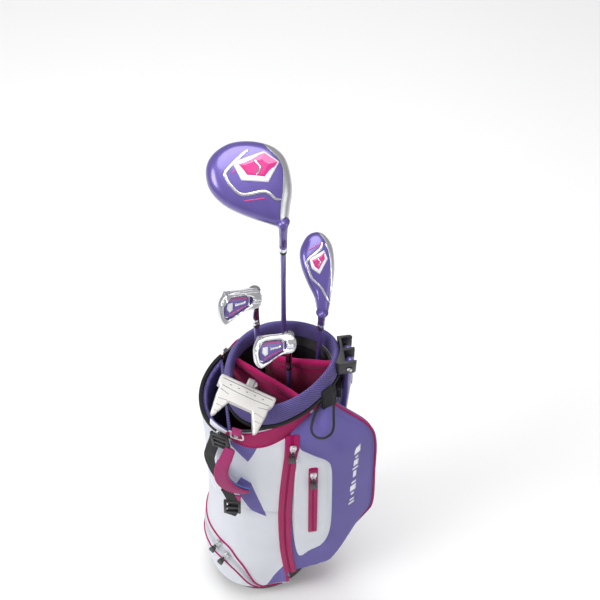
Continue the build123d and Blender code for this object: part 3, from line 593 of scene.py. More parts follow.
def wall_top(turn):
    """Height of the cloth wall's edge: low round the putter well, up to the cuff elsewhere."""
    x, y = egg(body_egg(590), turn)
    start, reach = (-52.0, 6.0) if y < 0 else (-34.0, 16.0)
    step = max(0.0, min(1.0, (x - start) / reach))
    return rim(x, WELL_DROP + (COLLAR_DROP + 2.0 - WELL_DROP) * step)


def make_body():
    """Cloth tube: outside and inside skins, a little slack between the stays."""
    rows_out, rows_in = [], []
    around = turns(144)
    for i in range(64):
        share = i / 63
        row_out, row_in = [], []
        for turn in around:
            level = 34 + (wall_top(turn) - 34) * share
            slack = -0.5 + ripple((cos(turn) * 90, sin(turn) * 80, level), 55, 0.9)
            row_out.append(on_body(turn, level, slack))
            row_in.append(on_body(turn, level, slack - CLOTH + 0.6))
        rows_out.append(row_out)
        rows_in.append(row_in)
    rows = rows_out + rows_in[::-1]
    points = [p for row in rows for p in row]
    body = piece("bag_body", points, lattice(rows, True, True), "white_fabric", stands_for=["body_shell"])
    rows = []
    for grow, shares in ((-4.4, range(0, 29)), (-5.2, range(28, -1, -1))):
        rows += [[on_body(turn, 40 + (wall_top(turn) - 43) * k / 28,
                          grow + ripple((cos(turn) * 90, sin(turn) * 80, k * 20), 50, 0.7))
                  for turn in turns(90)] for k in shares]
    piece("bag_lining", [p for row in rows for p in row], lattice(rows, True, True), "dark_lining")
    return body


COLLAR_EDGE = [(-131, 572), (-126, 562), (-114, 551), (-105, 549), (-96, 551), (-86, 559), (-77, 567),
               (-66, 581), (-57, 589), (-48, 595), (0, 601), (60, 588), (100, 566), (128, 566)]


def make_collar():
    """Coloured band with a turned hem."""
    rows = []
    for turn in turns(180, -132, 129):
        x, _ = egg(body_egg(600), turn)
        high = min(rim(x, COLLAR_DROP - 1.5), wall_top(turn) + 2.5)
        low = min(smooth_value(COLLAR_EDGE, turn * 180 / pi, 4), high - 6)
        row = []
        for share, grow in ((0, 0.2), (0, 1.7), (0.012, 2.4), (0.03, 2.4), (0.045, 1.8), (0.12, 1.7),
                            (0.3, 1.8), (0.5, 2.0), (0.7, 1.9), (0.9, 1.7), (1, 1.6), (1, 0.2), (0.5, 0.3)):
            level = low + (high - low) * share
            row.append(on_body(turn, level, grow + ripple((x, turn * 60, level), 18, 0.25)))
        rows.append(row)
    ring_piece("collar", rows, "magenta_fabric", stands_for=["top_collar"])
    hem = [on_body(t, smooth_value(COLLAR_EDGE, t * 180 / pi, 4) + 4.0, 2.0) for t in turns(220, -129, 122)]
    stitches("collar_hem_stitches", hem, [outward(TOP_EGG, 0)] * len(hem), "piping", from_axis=True)


def stitches(name, line, outs, look, length=3.4, gap=1.5, radius=0.32, from_axis=False, **settings):
    """Rows of short thread lengths lying on a surface."""
    line = even_points(line, length + gap)
    points, faces = [], []
    for i, (point, along) in enumerate(zip(line, directions(line))):
        if from_axis:
            out = Vector((point.x - TOP_EGG[0], point.y, 0)).normalized()
        else:
            out = outs[min(i, len(outs) - 1)] if isinstance(outs, list) else outs
        across = along.cross(out).normalized()
        start = len(points)
        for reach, size in ((-0.5, 0.35), (-0.36, 1.0), (0.36, 1.0), (0.5, 0.35)):
            for k in range(6):
                a = k * pi / 3
                points.append(point + along * (reach * length)
                              + (across * cos(a) + out * (sin(a) * 0.8)) * (radius * size))
        faces += lattice([points[start + 6 * k: start + 6 * k + 6] for k in range(4)], loop_columns=True,
                         start=start)
        faces += [tuple(range(start, start + 6)), tuple(range(start + 18, start + 24))]
    return piece(name, points, faces, look, **settings)


CUFF_PROFILE = [(33, 0.02), (33, 0.5), (32.6, 0.97), (29, 1.05), (22, 1.12), (14, 1.12), (7, 1.04),
                (2.5, 0.9), (0.2, 0.68), (-0.4, 0.5), (0.6, 0.3), (3.5, 0.12), (8, 0.0), (15, -0.06),
                (23, -0.06), (29, 0.0)]


def cuff_ring(turn, profile):
    """Points of the cuff's section; share runs from the opening's wall to the outside."""
    row = []
    for drop, share in profile:
        outer = tuple(a + (b - a) * max(0, drop) / CUFF_DEEP for a, b in zip(CUFF_TOP_EGG, CUFF_LOW_EGG))
        inner_x, inner_y = egg(CUFF_HOLE_EGG, turn)
        outer_x, outer_y = egg(outer, turn)
        x, y = inner_x + (outer_x - inner_x) * share, inner_y + (outer_y - inner_y) * share
        point = Vector((x, y, rim(x, drop)))
        row.append(point + outward(CUFF_LOW_EGG, turn) * ripple(point, 26, 0.7) * (1 if share > 0.5 else -1))
    return row


def make_cuff():
    """Padded spacer-mesh cuff with its foam crowned between the seams, and the binding under it."""
    around = turns(176)
    rows = [cuff_ring(turn, CUFF_PROFILE) for turn in around]
    uvs, wide = [], 0.0
    for i, row in enumerate(rows):
        if i:
            wide += (row[3] - rows[i - 1][3]).length
        tall = 0.0
        for j, point in enumerate(row):
            if j:
                tall += (point - row[j - 1]).length
            uvs.append((wide, tall))
    points = [p for row in rows for p in row]
    cuff = piece("cuff", points, lattice(rows, True, True), "mesh_fabric", uvs=uvs, stands_for=["cuff_pad"])
    smooth(cuff)
    line, outs = [], []
    for turn in around:
        x, y = egg(CUFF_LOW_EGG, turn, -0.2)
        line.append(Vector((x, y, rim(x, COLLAR_DROP - BINDING_DEEP / 2))))
        outs.append(outward(CUFF_LOW_EGG, turn))
    sweep("cuff_binding", line, outs, rounded(3.3, 1.9, 1.2), "webbing", closed=True,
          stands_for=["rim_binding"])
    low = [p + out * 1.75 - Vector((0, 0, 1.7)) for p, out in zip(line, outs)]
    stitches("cuff_binding_stitches", even_points(low, 4.9, True), None, "webbing", from_axis=True)


def smooth(made, levels=1):
    """Subdivide a piece so that it is round."""
    modifier = made.modifiers.new("smooth", "SUBSURF")
    modifier.levels = modifier.render_levels = levels
    return made


def bevelled(name, node, width, look, body="bag", segments=3):
    """A CAD piece with its sharp edges rounded."""
    made = bpy.data.objects.new(name, frame["nodes"][node].data.copy())
    bpy.context.scene.collection.objects.link(made)
    work = bmesh.new()
    work.from_mesh(made.data)
    bmesh.ops.remove_doubles(work, verts=work.verts, dist=0.02 * MM)
    bmesh.ops.dissolve_limit(work, angle_limit=radians(1.5), verts=work.verts, edges=work.edges)
    work.to_mesh(made.data)
    work.free()
    settle(made, look, body, [node])
    modifier = made.modifiers.new("edges", "BEVEL")
    modifier.width, modifier.segments, modifier.angle_limit = width * MM, segments, radians(35)
    modifier.use_clamp_overlap, modifier.harden_normals = True, True
    return made


def softened(name, node, look, body, grain=1.1, rounds=5):
    """A cast CAD piece with its edges polished round."""
    made = bevelled(name, node, 0.6, look, body, 2)
    remesh = made.modifiers.new("skin", "REMESH")
    remesh.mode, remesh.voxel_size, remesh.use_smooth_shade = "VOXEL", grain * MM, True
    polish = made.modifiers.new("polish", "SMOOTH")
    polish.factor, polish.iterations = 0.5, rounds
    return made


def ribbon(name, path, plane, tree, half_width, look, lift=0.35, thick=0.8, **settings):
    """A raised line that follows a surface; path lies in the plane (origin, u, v)."""
    origin, u, v = plane
    away = u.cross(v).normalized()
    spots, outs = [], []
    for point in even_points(curve_points([origin + u * a + v * b for a, b in path], 8), 1.6):
        for sign in (1, -1):
            spot, normal, _, _ = tree.ray_cast(point + away * (120 * sign), away * -sign)
            if spot is not None and (not spots or (spot - spots[-1]).length < 9):
                spots.append(spot + (normal if normal.dot(away) * sign > 0 else -normal) * lift)
                outs.append((normal if normal.dot(away) * sign > 0 else -normal))
                break
    ends = lambda t: max(0.25, min(1.0, t * 14, (1 - t) * 14)) ** 0.5
    return sweep(name, spots, outs, rounded(half_width, thick, 0.55), look, scale=ends, **settings)


def make_well():
    """Binding and padded lining of the putter well."""
    line, outs = [], []
    for turn in turns(90, 127, 233):
        x, y = egg(body_egg(580), turn, -0.6)
        line.append(Vector((x, y, rim(x, WELL_DROP - 4.5))))
        outs.append(outward(TOP_EGG, turn))
    sweep("well_binding", line, outs, rounded(4.6, 3.0, 1.9), "webbing")
    levels = [WELL_FLOOR, WELL_FLOOR + 2] + [340, 380, 420, 450, 480, 500, 515, 530, 542, 552, 560]
    outer_rows, inner_rows = [], []
    for share in [(z - WELL_FLOOR) / (560 - WELL_FLOOR) for z in levels]:
        outer, inner = [], []
        for turn in turns(60, 128, 232) + ["wall"] * 24:
            if turn == "wall":
                k = (len(outer) - 59) / 25
                a, b = outer[59], outer[0]
                x, y = WELL_X + 3.4, a.y + (b.y - a.y) * k
                top = rim(x, WELL_DROP - 6)
                level = WELL_FLOOR + (top - WELL_FLOOR) * share
                outer.append(Vector((x, y, level)))
                inner.append(Vector((WELL_X - 1.5 + ripple((y, level, 0), 16, 1.0), y * 0.93, level)))
                continue
            x, y = egg(body_egg(560), turn)
            level = WELL_FLOOR + (rim(x, WELL_DROP - 6) - WELL_FLOOR) * share
            swell = ripple((x, y, level), 20, 1.3)
            outer.append(on_body(turn, level, -CLOTH - 0.3))
            inner.append(on_body(turn, level, -CLOTH - 7.5 + swell))
            inner[-1].x = min(inner[-1].x, WELL_X - 1.5)
            outer[-1].x = min(outer[-1].x, WELL_X + 3.4)
        outer_rows.append(outer)
        inner_rows.append(inner)
    rows = outer_rows + inner_rows[::-1][:-1]
    points = [p for row in rows for p in row]
    width = len(rows[0])
    faces = lattice(rows, loop_columns=True)
    faces += [tuple(range(width)), tuple(range((len(rows) - 1) * width, len(rows) * width))]
    uvs = [(j * 4.0, p.z) for row in rows for j, p in enumerate(row)]
    lining = piece("well_pad", points, faces, "mesh_fabric", uvs=uvs, stands_for=["well_lining"])
    smooth(lining)


def inside(point, outline, grow):
    """Whether a point lies inside an egg outline grown by grow."""
    mid_x, half_x, half_y, taper = outline
    c = (point[0] - mid_x) / (half_x + grow)
    if abs(c) >= 1:
        return False
    return abs(point[1]) < (half_y + grow) * sqrt(1 - c * c) * (1 - taper * c)


def clipped(path, outline, grow, count):
    """The part of a path inside an outline, as evenly spaced points."""
    line = even_points([Vector((x, y, 0)) for x, y in path], 0.5)
    kept = [p for p in line if inside(p, outline, grow) and p.x > WELL_X + 5]
    return even_points(kept, sum((b - a).length for a, b in zip(kept, kept[1:])) / count)[:count + 1]


def make_divider(name, node, path, low):
    """Fleece-covered bar across the opening, and the panel that hangs from it."""
    count = 44
    bend = curve_points([Vector((x, y, 0)) for x, y in path], 12)
    path = [(p.x, p.y) for p in bend]
    bar = clipped(path, CUFF_HOLE_EGG, 2.0, count)
    rows = []
    for point, along in zip(bar, directions(bar)):
        across = along.cross(Vector((0, 0, 1)))
        sag = ripple(point, 22, 0.8)
        row = []
        for k in range(20):
            a = 2 * pi * k / 20
            fat = 4.7 + 0.5 * sin(a) + ripple(point * 2 + Vector((0, 0, k)), 5, 0.5)
            tall = 10.6 * sin(a) * (1.0 if abs(sin(a)) > 0.3 else 0.9)
            row.append(point + across * (fat * cos(a) + sag) + Vector((0, 0, rim(point.x, 30.5) + tall)))
        rows.append(row)
    padded_bar = ring_piece(name + "_bar", rows, "fleece", stands_for=[node])
    levels = [low + (600 - low) * k / 14 for k in range(15)]
    sides = ([], [])
    for level in levels:
        line = clipped(path, body_egg(level), -CLOTH - 5, count)
        for sign, rows in zip((1, -1), sides):
            row = []
            for point, along in zip(line, directions(line)):
                across = along.cross(Vector((0, 0, 1)))
                sway = ripple((point.x, point.y, level), 60, 2.5)
                spot = point + across * (sign * 1.2 + sway * (600 - level) / 300)
                top = rim(point.x, COLLAR_DROP + 1)
                row.append(spot + Vector((0, 0, low + (top - low) * (level - low) / (600 - low))))
            rows.append(row)
    rows = sides[0] + sides[1][::-1]
    points = [p for row in rows for p in row]
    faces = lattice(rows, loop_rows=True)
    width = len(rows[0])
    faces += [tuple(range(0, len(points), width)), tuple(range(width - 1, len(points), width))]
    piece(name + "_panel", points, faces, "fleece")


# ---- small hardware ----
def plate_rows(outline, plane, thick, bevel=0.6, base=0.0):
    """Rings of a flat plate with rounded edges; plane is (origin, u, v)."""
    origin, u, v = plane
    out = u.cross(v).normalized()
    middle_u = sum(p[0] for p in outline) / len(outline)
    middle_v = sum(p[1] for p in outline) / len(outline)
    rows = []
    for height, inset in ((0, bevel), (bevel * 0.4, bevel * 0.3), (bevel, 0), (thick - bevel, 0),
                          (thick - bevel * 0.4, bevel * 0.3), (thick, bevel)):
        row = []
        for a, b in outline:
            reach = hypot(a - middle_u, b - middle_v)
            k = max(0.0, 1 - inset / reach)
            row.append(origin + u * (middle_u + (a - middle_u) * k) + v * (middle_v + (b - middle_v) * k)
                       + out * (base + height))
        rows.append(row)
    return rows


def rod_rows(a, b, out, profile, ease=0.8):
    """Rings of a straight bar with eased ends."""
    a, b = Vector(a), Vector(b)
    along = (b - a).normalized()
    across = along.cross(out).normalized()
    out = across.cross(along)
    rows = []
    for point, k in ((a, 0.7), (a + along * ease, 1.0), (b - along * ease, 1.0), (b, 0.7)):
        rows.append([point + across * (p * k) + out * (q * k) for p, q in profile])
    return rows


def cluster(name, tubes, look, **settings):
    """One piece made of several closed tubes."""
    points, faces = [], []
    for rows in tubes:
        start, width = len(points), len(rows[0])
        points += [p for row in rows for p in row]
        faces += lattice(rows, loop_columns=True, start=start)
        faces += [tuple(range(start, start + width)), tuple(range(len(points) - width, len(points)))]
    return piece(name, points, faces, look, **settings)


def rect(half_u, half_v, corner=1.5, at=(0, 0)):
    """Rounded rectangle about a middle point."""
    return [(at[0] + a, at[1] + b) for a, b in rounded(half_u, half_v, corner)]


def dome(name, centre, out, radius, height, look, cross=False, **settings):
    """Turned cap such as a rivet or a screw head."""
    out = Vector(out).normalized()
    side = out.cross(Vector((0, 0, 1))).normalized()
    up = side.cross(out)
    tubes = [[]]
    for share, rise in ((1.0, -0.6), (1.0, 0.25), (0.93, 0.5), (0.72, 0.85), (0.4, 0.97), (0.08, 1.0)):
        tubes[0].append([centre + (side * cos(a) + up * sin(a)) * (radius * share) + out * (height * rise)
                         for a in turns(20)])
    made = cluster(name, tubes, look, **settings)
    # with cross, two near-black raised bars lie on top: painted shade of the screw's cross recess
    if cross:
        arms = [rod_rows(centre + way * (radius * 0.5) + out * height,
                         centre - way * (radius * 0.5) + out * height,
                         out, rounded(0.5, 0.25, 0.2, 1)) for way in (side, up)]
        cluster(name + "_recess", arms, "engraving_shade", slot="steel", body=settings.get("body", "bag"))
    return made


def zip_slider(name, centre, out, down, look, body, node):
    """Slider with its bridge and wire, and a cord pull that ends in a moulded tag."""
    out, down = Vector(out).normalized(), Vector(down).normalized()
    side = down.cross(out).normalized()
    down = out.cross(side).normalized()
    centre = Vector(centre)
    face = (centre, side, down)
    top = [(-3.6, -7), (3.6, -7), (5.0, -2.5), (4.4, 3), (3.0, 7.4), (-3.0, 7.4), (-4.4, 3), (-5.0, -2.5)]
    tubes = [plate_rows(top, face, 1.5, 0.5), plate_rows(top, face, 1.2, 0.4, base=1.9)]
    tubes.append(rod_rows(centre + out * 0.5 - down * 4, centre + out * 2.8 - down * 4, down,
                          rounded(1.2, 1.2, 0.5, 2)))
    bridge = [centre - down * 5.4 + out * 2.8, centre - down * 4.6 + out * 5.0,
              centre + down * 1.5 + out * 5.3, centre + down * 4.6 + out * 2.8]
    tubes += [rod_rows(a, b, side, rounded(0.8, 1.2, 0.5, 2), 0.1) for a, b in zip(bridge, bridge[1:])]
    hang = centre + down * 2.2 + out * 4.4
    loop = curve_points([hang + side * (2.6 * cos(t)) + down * (2.9 + 2.9 * sin(t)) for t in turns(10)], 3,
                        True)
    tubes += [rod_rows(a, b, out, circle(0.65, 6), 0.1) for a, b in zip(loop, loop[1:] + loop[:1])]
    made = cluster(name, tubes, look, body=body, stands_for=[node])
    knot = hang + down * 6.5
    tag = [(-4.2, 10), (-5.4, 21), (-5.2, 25), (-3.8, 26.5), (3.8, 26.5), (5.2, 25), (5.4, 21), (4.2, 10),
           (2.6, 8.0), (-2.6, 8.0)]
    pull = [plate_rows(tag, (knot - out * 1.7, side, down), 3.4, 1.0)]
    pull += [rod_rows(knot + side * k, knot + down * 10 + side * (k * 1.5), out, circle(0.9, 6), 0.2)
             for k in (-1.2, 1.2)]
    pull.append(plate_rows(rect(2.7, 1.8, 1.1, (0, 0.2)), (knot - out * 1.5, side, down), 3.0, 0.9))
    cluster(name + "_pull", pull, "black_plastic", body=body, slot="steel")
    return made


# ---- pockets ----
def pocket_front(x, level):
    """y of the pocket's full front: it leans back at the top and slants away along the wing."""
    flat = smooth_value(POCKET_PROFILE, level, 20)
    slant = -99 + max(0.0, x - 103) * 45 / 78
    return (flat + slant + sqrt((flat - slant) ** 2 + 90)) / 2 - 3


WING_CURVE = [(p.x, p.y) for p in curve_points([(x, z, 0) for x, z in WING_TOP], 5)]
WING_EDGES = list(zip(WING_CURVE, WING_CURVE[1:]))


def pocket_y(x, level):
    """Front of the stuffed pocket: round at the rim, with soft folds below the collar."""
    d = edge_distance((x, level), WING_EDGES)
    rim_y = min(-50.0, body_y(x, level, 3.0 - 1.8 * max(0.0, min(1.0, (level - 555) / 20))))
    share = sin(pi / 2 * min(1.0, d / 30.0)) ** 0.9
    y = rim_y + (pocket_front(x, level) - rim_y) * share
    near_top = max(0.0, min(1.0, (level - 430) / 120))
    folds = ripple((x * 0.8 + level * 0.5, level * 0.25, 0), 20, 2.4, 3.1) * near_top
    soft = ripple((x, level, 0), 60, 1.6, 1.7)
    return y + (folds + soft) * min(1.0, d / 18)


def make_apparel_pocket():
    """The big pocket: crowned front, folds near the top and a rounded edge."""
    left = [(zip_x(z) - 6, z) for z in (90, 130, 200, 265, 333, 395, 455, 510, 560)]
    outline = WING_CURVE + left

    def top(x, z, d):
        return Vector((x, pocket_y(x, z), z))

    def bottom(x, z):
        return Vector((x, max(pocket_y(x, z) + 1.0, min(-44.5, body_y(x, z, 2.4))), z))

    pocket = cut_piece("apparel_pocket_cloth", outline, 7.0, (1.5, 3.0), top, bottom, "purple_fabric",
                       stands_for=["apparel_pocket"])
    rim_line = [Vector((x, pocket_y(x, z) - 0.4, z)) for x, z in WING_CURVE if x > 101]
    sweep("wing_piping", even_points(rim_line, 5), Vector((0, -1, 0.05)), circle(2.1, 10), "piping",
          stands_for=["apparel_piping"])
    inner = [spot for spot in WING_CURVE if spot[0] > 101]
    offset = strip(inner, 5.0)
    middle = Vector((100, 350, 0))
    choice = [offset[:len(inner)], offset[len(inner):][::-1]]
    seam = min(choice, key=lambda line: sum((Vector((x, z, 0)) - middle).length for x, z in line))
    line = [Vector((x, pocket_y(x, z) - 0.3, z)) for x, z in seam[2:-2]]
    stitches("wing_stitches", even_points(line, 3), Vector((0, -1, 0)), "purple_fabric")
    return pocket


def ball_shift(level):
    """How far the ball pocket carries the body's side out at a height."""
    share = smooth_value(BALL_SHARES, level, 22)
    return Vector((BALL_SHIFT[0] * share, BALL_SHIFT[1] * share, 0))


def skin(turn, level, grow=0.0):
    """White front left of the bag: the body moved out over the ball pocket, faired to the zip."""
    point = on_body(turn, level, grow) + ball_shift(level)
    if point.y < 0:
        toward = max(0.0, min(1.0, (point.x + 52) / 78))
        tuck = max(0.0, min(1.0, (smooth_value(COLLAR_EDGE, turn * 180 / pi, 5) + 6 - level) / 46))
        front = pocket_front(point.x, level) - grow
        point.y += (min(front, point.y) - point.y) * toward ** 2 * sin(pi / 2 * tuck)
    crease = ripple((point.x * 0.4, level, point.y * 0.3), 17, 1.0, 5.0) * max(0.0, 1 - abs(level - 372) / 60)
    return point + outward(TOP_EGG, turn) * (crease + ripple(point, 45, 0.8, 2.0))


def skin_turn(x, level):
    """Turn where the white skin has this x, on the front."""
    mid_x, half_x, _, _ = body_egg(level)
    c = (x - mid_x - ball_shift(level).x) / half_x
    return -atan2(sqrt(max(0.0, 1 - c * c)), c)


def skin_piece(name, low, high, rows_count, last_turn, **settings):
    """A closed panel of the white skin between two heights, from the zip round to a turn."""
    outer, inner = [], []
    for i in range(rows_count):
        a, b = [], []
        for k in range(70):
            share_z = i / (rows_count - 1)
            first = skin_turn(zip_x(300) - 4, 300)
            turn = first + (last_turn - first) * k / 69
            top = high if not callable(high) else high(turn)
            level = low + (top - low) * share_z
            fix = skin_turn(zip_x(level) - 4, level) - first
            turn += fix * (1 - k / 69)
            round_off = 1 - min(1.0, min(i, rows_count - 1 - i) / 1.5)
            point = skin(turn, level, 1.2 - 1.0 * round_off)
            a.append(point)
            b.append(Vector((point.x, point.y, point.z)) - outward(TOP_EGG, turn) * (1.6 + 0.2 * round_off))
        outer.append(a)
        inner.append(b)
    rows = outer + inner[::-1]
    points = [p for row in rows for p in row]
    width = len(rows[0])
    faces = lattice(rows, loop_rows=True)
    faces += [tuple(range(0, len(points), width)), tuple(range(width - 1, len(points), width))]
    return piece(name, points, faces, "white_fabric", **settings)


def band_point(turn, share, grow):
    """Point of the skin between the ball pocket's lower piping (share 0) and its upper one (share 1)."""
    low, high = (smooth_value(table, turn * 180 / pi, 6) for table in (BAND_LOW, BAND_HIGH))
    return skin(turn, low + (high - low) * share, grow)


def make_ball_pocket():
    """Lower white pocket with its two pipings and the zip band between them."""
    pocket = skin_piece("ball_pocket_cloth", 34, 342, 52, radians(-215), stands_for=["ball_pocket"])
    for name, value, radius in (("ball_piping_upper", 1, 1.9), ("ball_piping_lower", 0, 1.7)):
        line = [band_point(t, value, 1.6) for t in turns(110, -214, -89)]
        line = [p for p in line if p.z > 33]
        outs = [Vector((p.x - 10, p.y, 0)).normalized() for p in line]
        made = sweep(name, line, outs, circle(radius, 8), "piping")
        if name.endswith("upper"):
            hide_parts("ball_piping")
    around = [t for t in turns(90, -213, -89) if band_point(t, 0.25, 0).z > 34]
    rows = []
    for k in range(9):
        grow = 1.8 + (0.9 if k in (3, 5) else 0.2 if k == 4 else 0.0)
        rows.append([band_point(t, 0.3 + 0.05 * k, grow) for t in around])
    rows += [[p - Vector((p.x - 10, p.y, 0)).normalized() * 1.6 for p in row] for row in rows[::-1]]
    points = [p for row in rows for p in row]
    width = len(around)
    faces = lattice(rows, loop_rows=True)
    faces += [tuple(range(0, len(points), width)), tuple(range(width - 1, len(points), width))]
    uvs = [(i * 2.0, j * 2.5) for i in range(len(rows)) for j in range(width)]
    piece("ball_zip_band", points, faces, "zip_band", uvs=uvs, stands_for=["ball_zip"])
    return pocket


# ---- front details, strap and stand ----
def front_tree(pieces):
    """One tree over several pieces, in millimetres."""
    points, faces = [], []
    for made in pieces:
        start = len(points)
        points += [v.co / MM for v in made.data.vertices]
        faces += [tuple(i + start for i in p.vertices) for p in made.data.polygons]
    return BVHTree.FromPolygons(points, faces)


X_WAY, Y_WAY, Z_WAY = Vector((1, 0, 0)), Vector((0, 1, 0)), Vector((0, 0, 1))
FRONT = (Vector((0, 0, 0)), X_WAY, Z_WAY)


def make_front(tree):
    """Both zips and the raised white pocket on the front."""
    path = [(p.x, p.y) for p in curve_points([(x, z, 0) for x, z in ZIP_PATH], 8)]
    decal("zip_base", strip(path, 10.2), FRONT, tree, "zip_tape", lift=1.0, step=6, stands_for=["main_zip"])

    def on_front(line, lift):
        result = []
        for x, z in line:
            spot, normal, _, _ = tree.ray_cast(Vector((x, -300, z)), Y_WAY)
            result.append(spot + (normal if normal.y < 0 else -normal) * lift)
        return result

    centre = even_points(on_front(path, 0.8), 4)
    for name, shift in (("zip_flap_left", -5.6), ("zip_flap_right", 5.6)):
        line = [p + X_WAY * shift for p in centre]
        sweep(name, line, Vector((0, -1, 0)), rounded(4.3, 1.25, 1.1, 2, 0.9), "zip_tape")
        edge = [p + X_WAY * (shift * 1.55) - Y_WAY * 2.0 for p in centre]
        stitches(name + "_stitches", edge, Vector((0, -1, 0)), "piping", length=3.0)
    coil(centre, "zip_coil")
    inner = [(x, z) for x, z in PANEL]
    shape = [(p.x, p.y) for p in curve_points([(x, z, 0) for x, z in inner], 5, True)]
    raised = decal("accessory_pocket_cloth", shape, FRONT, tree, "white_fabric", lift=3.0, step=6, edge=3.2,
                   crown=1.2, stands_for=["accessory_pocket"])
    over = front_tree([raised])
    for name, shrink in (("panel_stitches_outer", 4.5), ("panel_stitches_inner", 7.5)):
        seam = shrunk(shape, shrink)
        line = []
        for x, z in seam:
            spot, normal, _, _ = over.ray_cast(Vector((x, -300, z)), Y_WAY)
            if spot is not None:
                line.append(spot - Y_WAY * 0.15)
        stitches(name, line + line[:1], Vector((0, -1, 0)), "white_fabric", length=3.0)
    x, low, high = 72.0, 271.0, 496.0
    slot_shape = rect(6.8, (high - low) / 2, 4.0, (x, (low + high) / 2))
    decal("accessory_zip_tape", slot_shape, FRONT, over, "zip_tape", lift=0.9, step=6,
          stands_for=["accessory_zip"])
    line = []
    for k in range(56):
        z = low + 5 + (high - low - 10) * k / 55
        line.append(over.ray_cast(Vector((x, -300, z)), Y_WAY)[0] - Y_WAY * 0.8)
    for name, shift in (("accessory_flap_left", -3.6), ("accessory_flap_right", 3.6)):
        sweep(name, [p + X_WAY * shift for p in line], Vector((0, -1, 0)), rounded(2.6, 0.9, 0.8, 2, 0.6),
              "zip_tape")
    coil(line, "accessory_coil", radius=0.9)
    border = [p for p in even_points([Vector((a, b, 0)) for a, b in slot_shape], 4, True)]
    edge = [over.ray_cast(Vector((p.x, -300, p.y)), Y_WAY)[0] - Y_WAY * 1.1 for p in border]
    stitches("accessory_zip_stitches", edge + edge[:1], Vector((0, -1, 0)), "piping", length=2.6)


def make_base_facing():
    """Coloured cloth below the big pocket, and the piping along the foot of the white front."""
    facing = [(40, 36), (86, 40), (92, 112), (66, 118), (40, 112)]
    decal("base_facing", facing, FRONT, solid_of(body_cloth), "magenta_fabric", lift=0.8, step=6)
    line = [skin(t, 37, 1.4) for t in turns(40, -103, -70)]
    line = [p for p in line if p.x < 36]
    sweep("base_piping", line, Vector((0, -1, 0)), circle(1.7, 8), "piping")


def coil(line, name, radius=1.1):
    """The zip's closed teeth: beads along the line."""
    dense = even_points(line, 0.75)
    rows = []
    for i, (p, along) in enumerate(zip(dense, directions(dense))):
        out = Vector((0, -1, 0))
        across = along.cross(out).normalized()
        k = radius * (1.15 if i % 2 else 0.75)
        rows.append([p + across * (a * k * 1.3) + out * (b * k + 0.5) for a, b in circle(1.0, 6)])
    ring_piece(name, rows, "magenta_fabric", slot="zip_tape")


def shrunk(shape, amount):
    """A closed outline moved inward."""
    count = len(shape)
    area = sum(a[0] * b[1] - b[0] * a[1] for a, b in zip(shape, shape[1:] + shape[:1]))
    sign = 1 if area > 0 else -1
    result = []
    for i in range(count):
        (ax, ay), (bx, by) = shape[i - 1], shape[(i + 1) % count]
        reach = hypot(bx - ax, by - ay)
        result.append((shape[i][0] - sign * amount * (by - ay) / reach,
                       shape[i][1] + sign * amount * (bx - ax) / reach))
    return result


def make_prints(tree):
    """Printed shapes on the white panel, and the generic mark on the purple pocket."""
    thin = dict(lift=0.22, edge=0.25, step=4, sink=0.1, slot="purple_fabric")
    decal("print_upper", [(-44, 560), (-3, 562), (-22, 508), (-44, 545)], FRONT, tree, "purple_fabric",
          **thin)
    decal("print_middle", [(-34, 452), (-20, 440), (0, 328), (-23, 341), (-46, 410)], FRONT, tree,
          "purple_fabric", **thin)
    decal("print_low", [(31, 150), (33, 46), (-8, 40), (5, 84)], FRONT, tree, "purple_fabric", **thin)
    bars = [(316, 324), (329, 336), (348, 356), (362, 382), (388, 396), (410, 430), (436, 442), (448, 468),
            (474, 480), (488, 506)]
    for i, (low, high) in enumerate(bars):
        shape = rect(5.0 - (i % 3) * 1.1, (high - low) / 2, 1.0, (132 + 0.018 * low, (low + high) / 2))
        decal(f"pocket_mark_{i}", shape, FRONT, tree, "white_paint", lift=0.3, edge=0.25, step=4, sink=0.1,
              slot="white_fabric")


def make_trim():
    """Rivets and handle tab."""
    spots = ((-55, 604, 1.9), (-122, 576, 1.9), (-140, 566, 2.6), (55, 604, 1.9), (122, 576, 1.9))
    for i, (turn, level, grow) in enumerate(spots):
        t = radians(turn)
        centre = on_body(t, level, grow)
        made = dome(f"rivet_{i}", centre, outward(TOP_EGG, t), 3.4, 1.5, "steel")
        if i == 0:
            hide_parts("rivets")
    out = Vector((0.42, -0.9, 0)).normalized()
    side = Vector((-out.y, out.x, 0))
    root = on_body(radians(-40), 630, 9.0)
    line = curve_points([root + out * a + Z_WAY * b for a,
                         b in ((-3, 10), (-1.5, 2), (0, -9), (1.5, -20), (2.5, -31))], 8)
    sweep("handle_tab_webbing", line, out, rounded(11.5, 1.6, 1.2), "webbing", stands_for=["handle_tab"])
    for k in (-9.5, 9.5):
        edge = [p + side * k + out * 1.65 for p in line]
        stitches(f"handle_stitches_{'left' if k < 0 else 'right'}", edge, out, "webbing")


def make_loop():
    """Covered elastic towel loop, a free cord whose both ends go back under the tab."""
    route = [(88, -57, 616), (80, -65, 608), (73, -76, 600), (69, -87, 595), (72, -95, 591), (80, -100, 590),
             (89, -101, 592), (97, -98, 597), (101, -91, 603), (102, -79, 612), (104, -67, 622),
             (105, -56, 634)]
    data = bpy.data.curves.new("towel_loop_cord", "CURVE")
    data.dimensions, data.bevel_depth, data.bevel_resolution, data.resolution_u = "3D", 1.75 * MM, 4, 16
    data.use_fill_caps = True
    spline = data.splines.new("NURBS")
    spline.points.add(len(route) - 1)
    for point, place in zip(spline.points, route):
        point.co = (*(Vector(place) * MM), 1)
    spline.order_u, spline.use_endpoint_u = 3, True
    made = bpy.data.objects.new("towel_loop_cord", data)
    bpy.context.scene.collection.objects.link(made)
    data.materials.append(LOOKS["elastic"])
    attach(made, "bag")
    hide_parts("towel_loop")


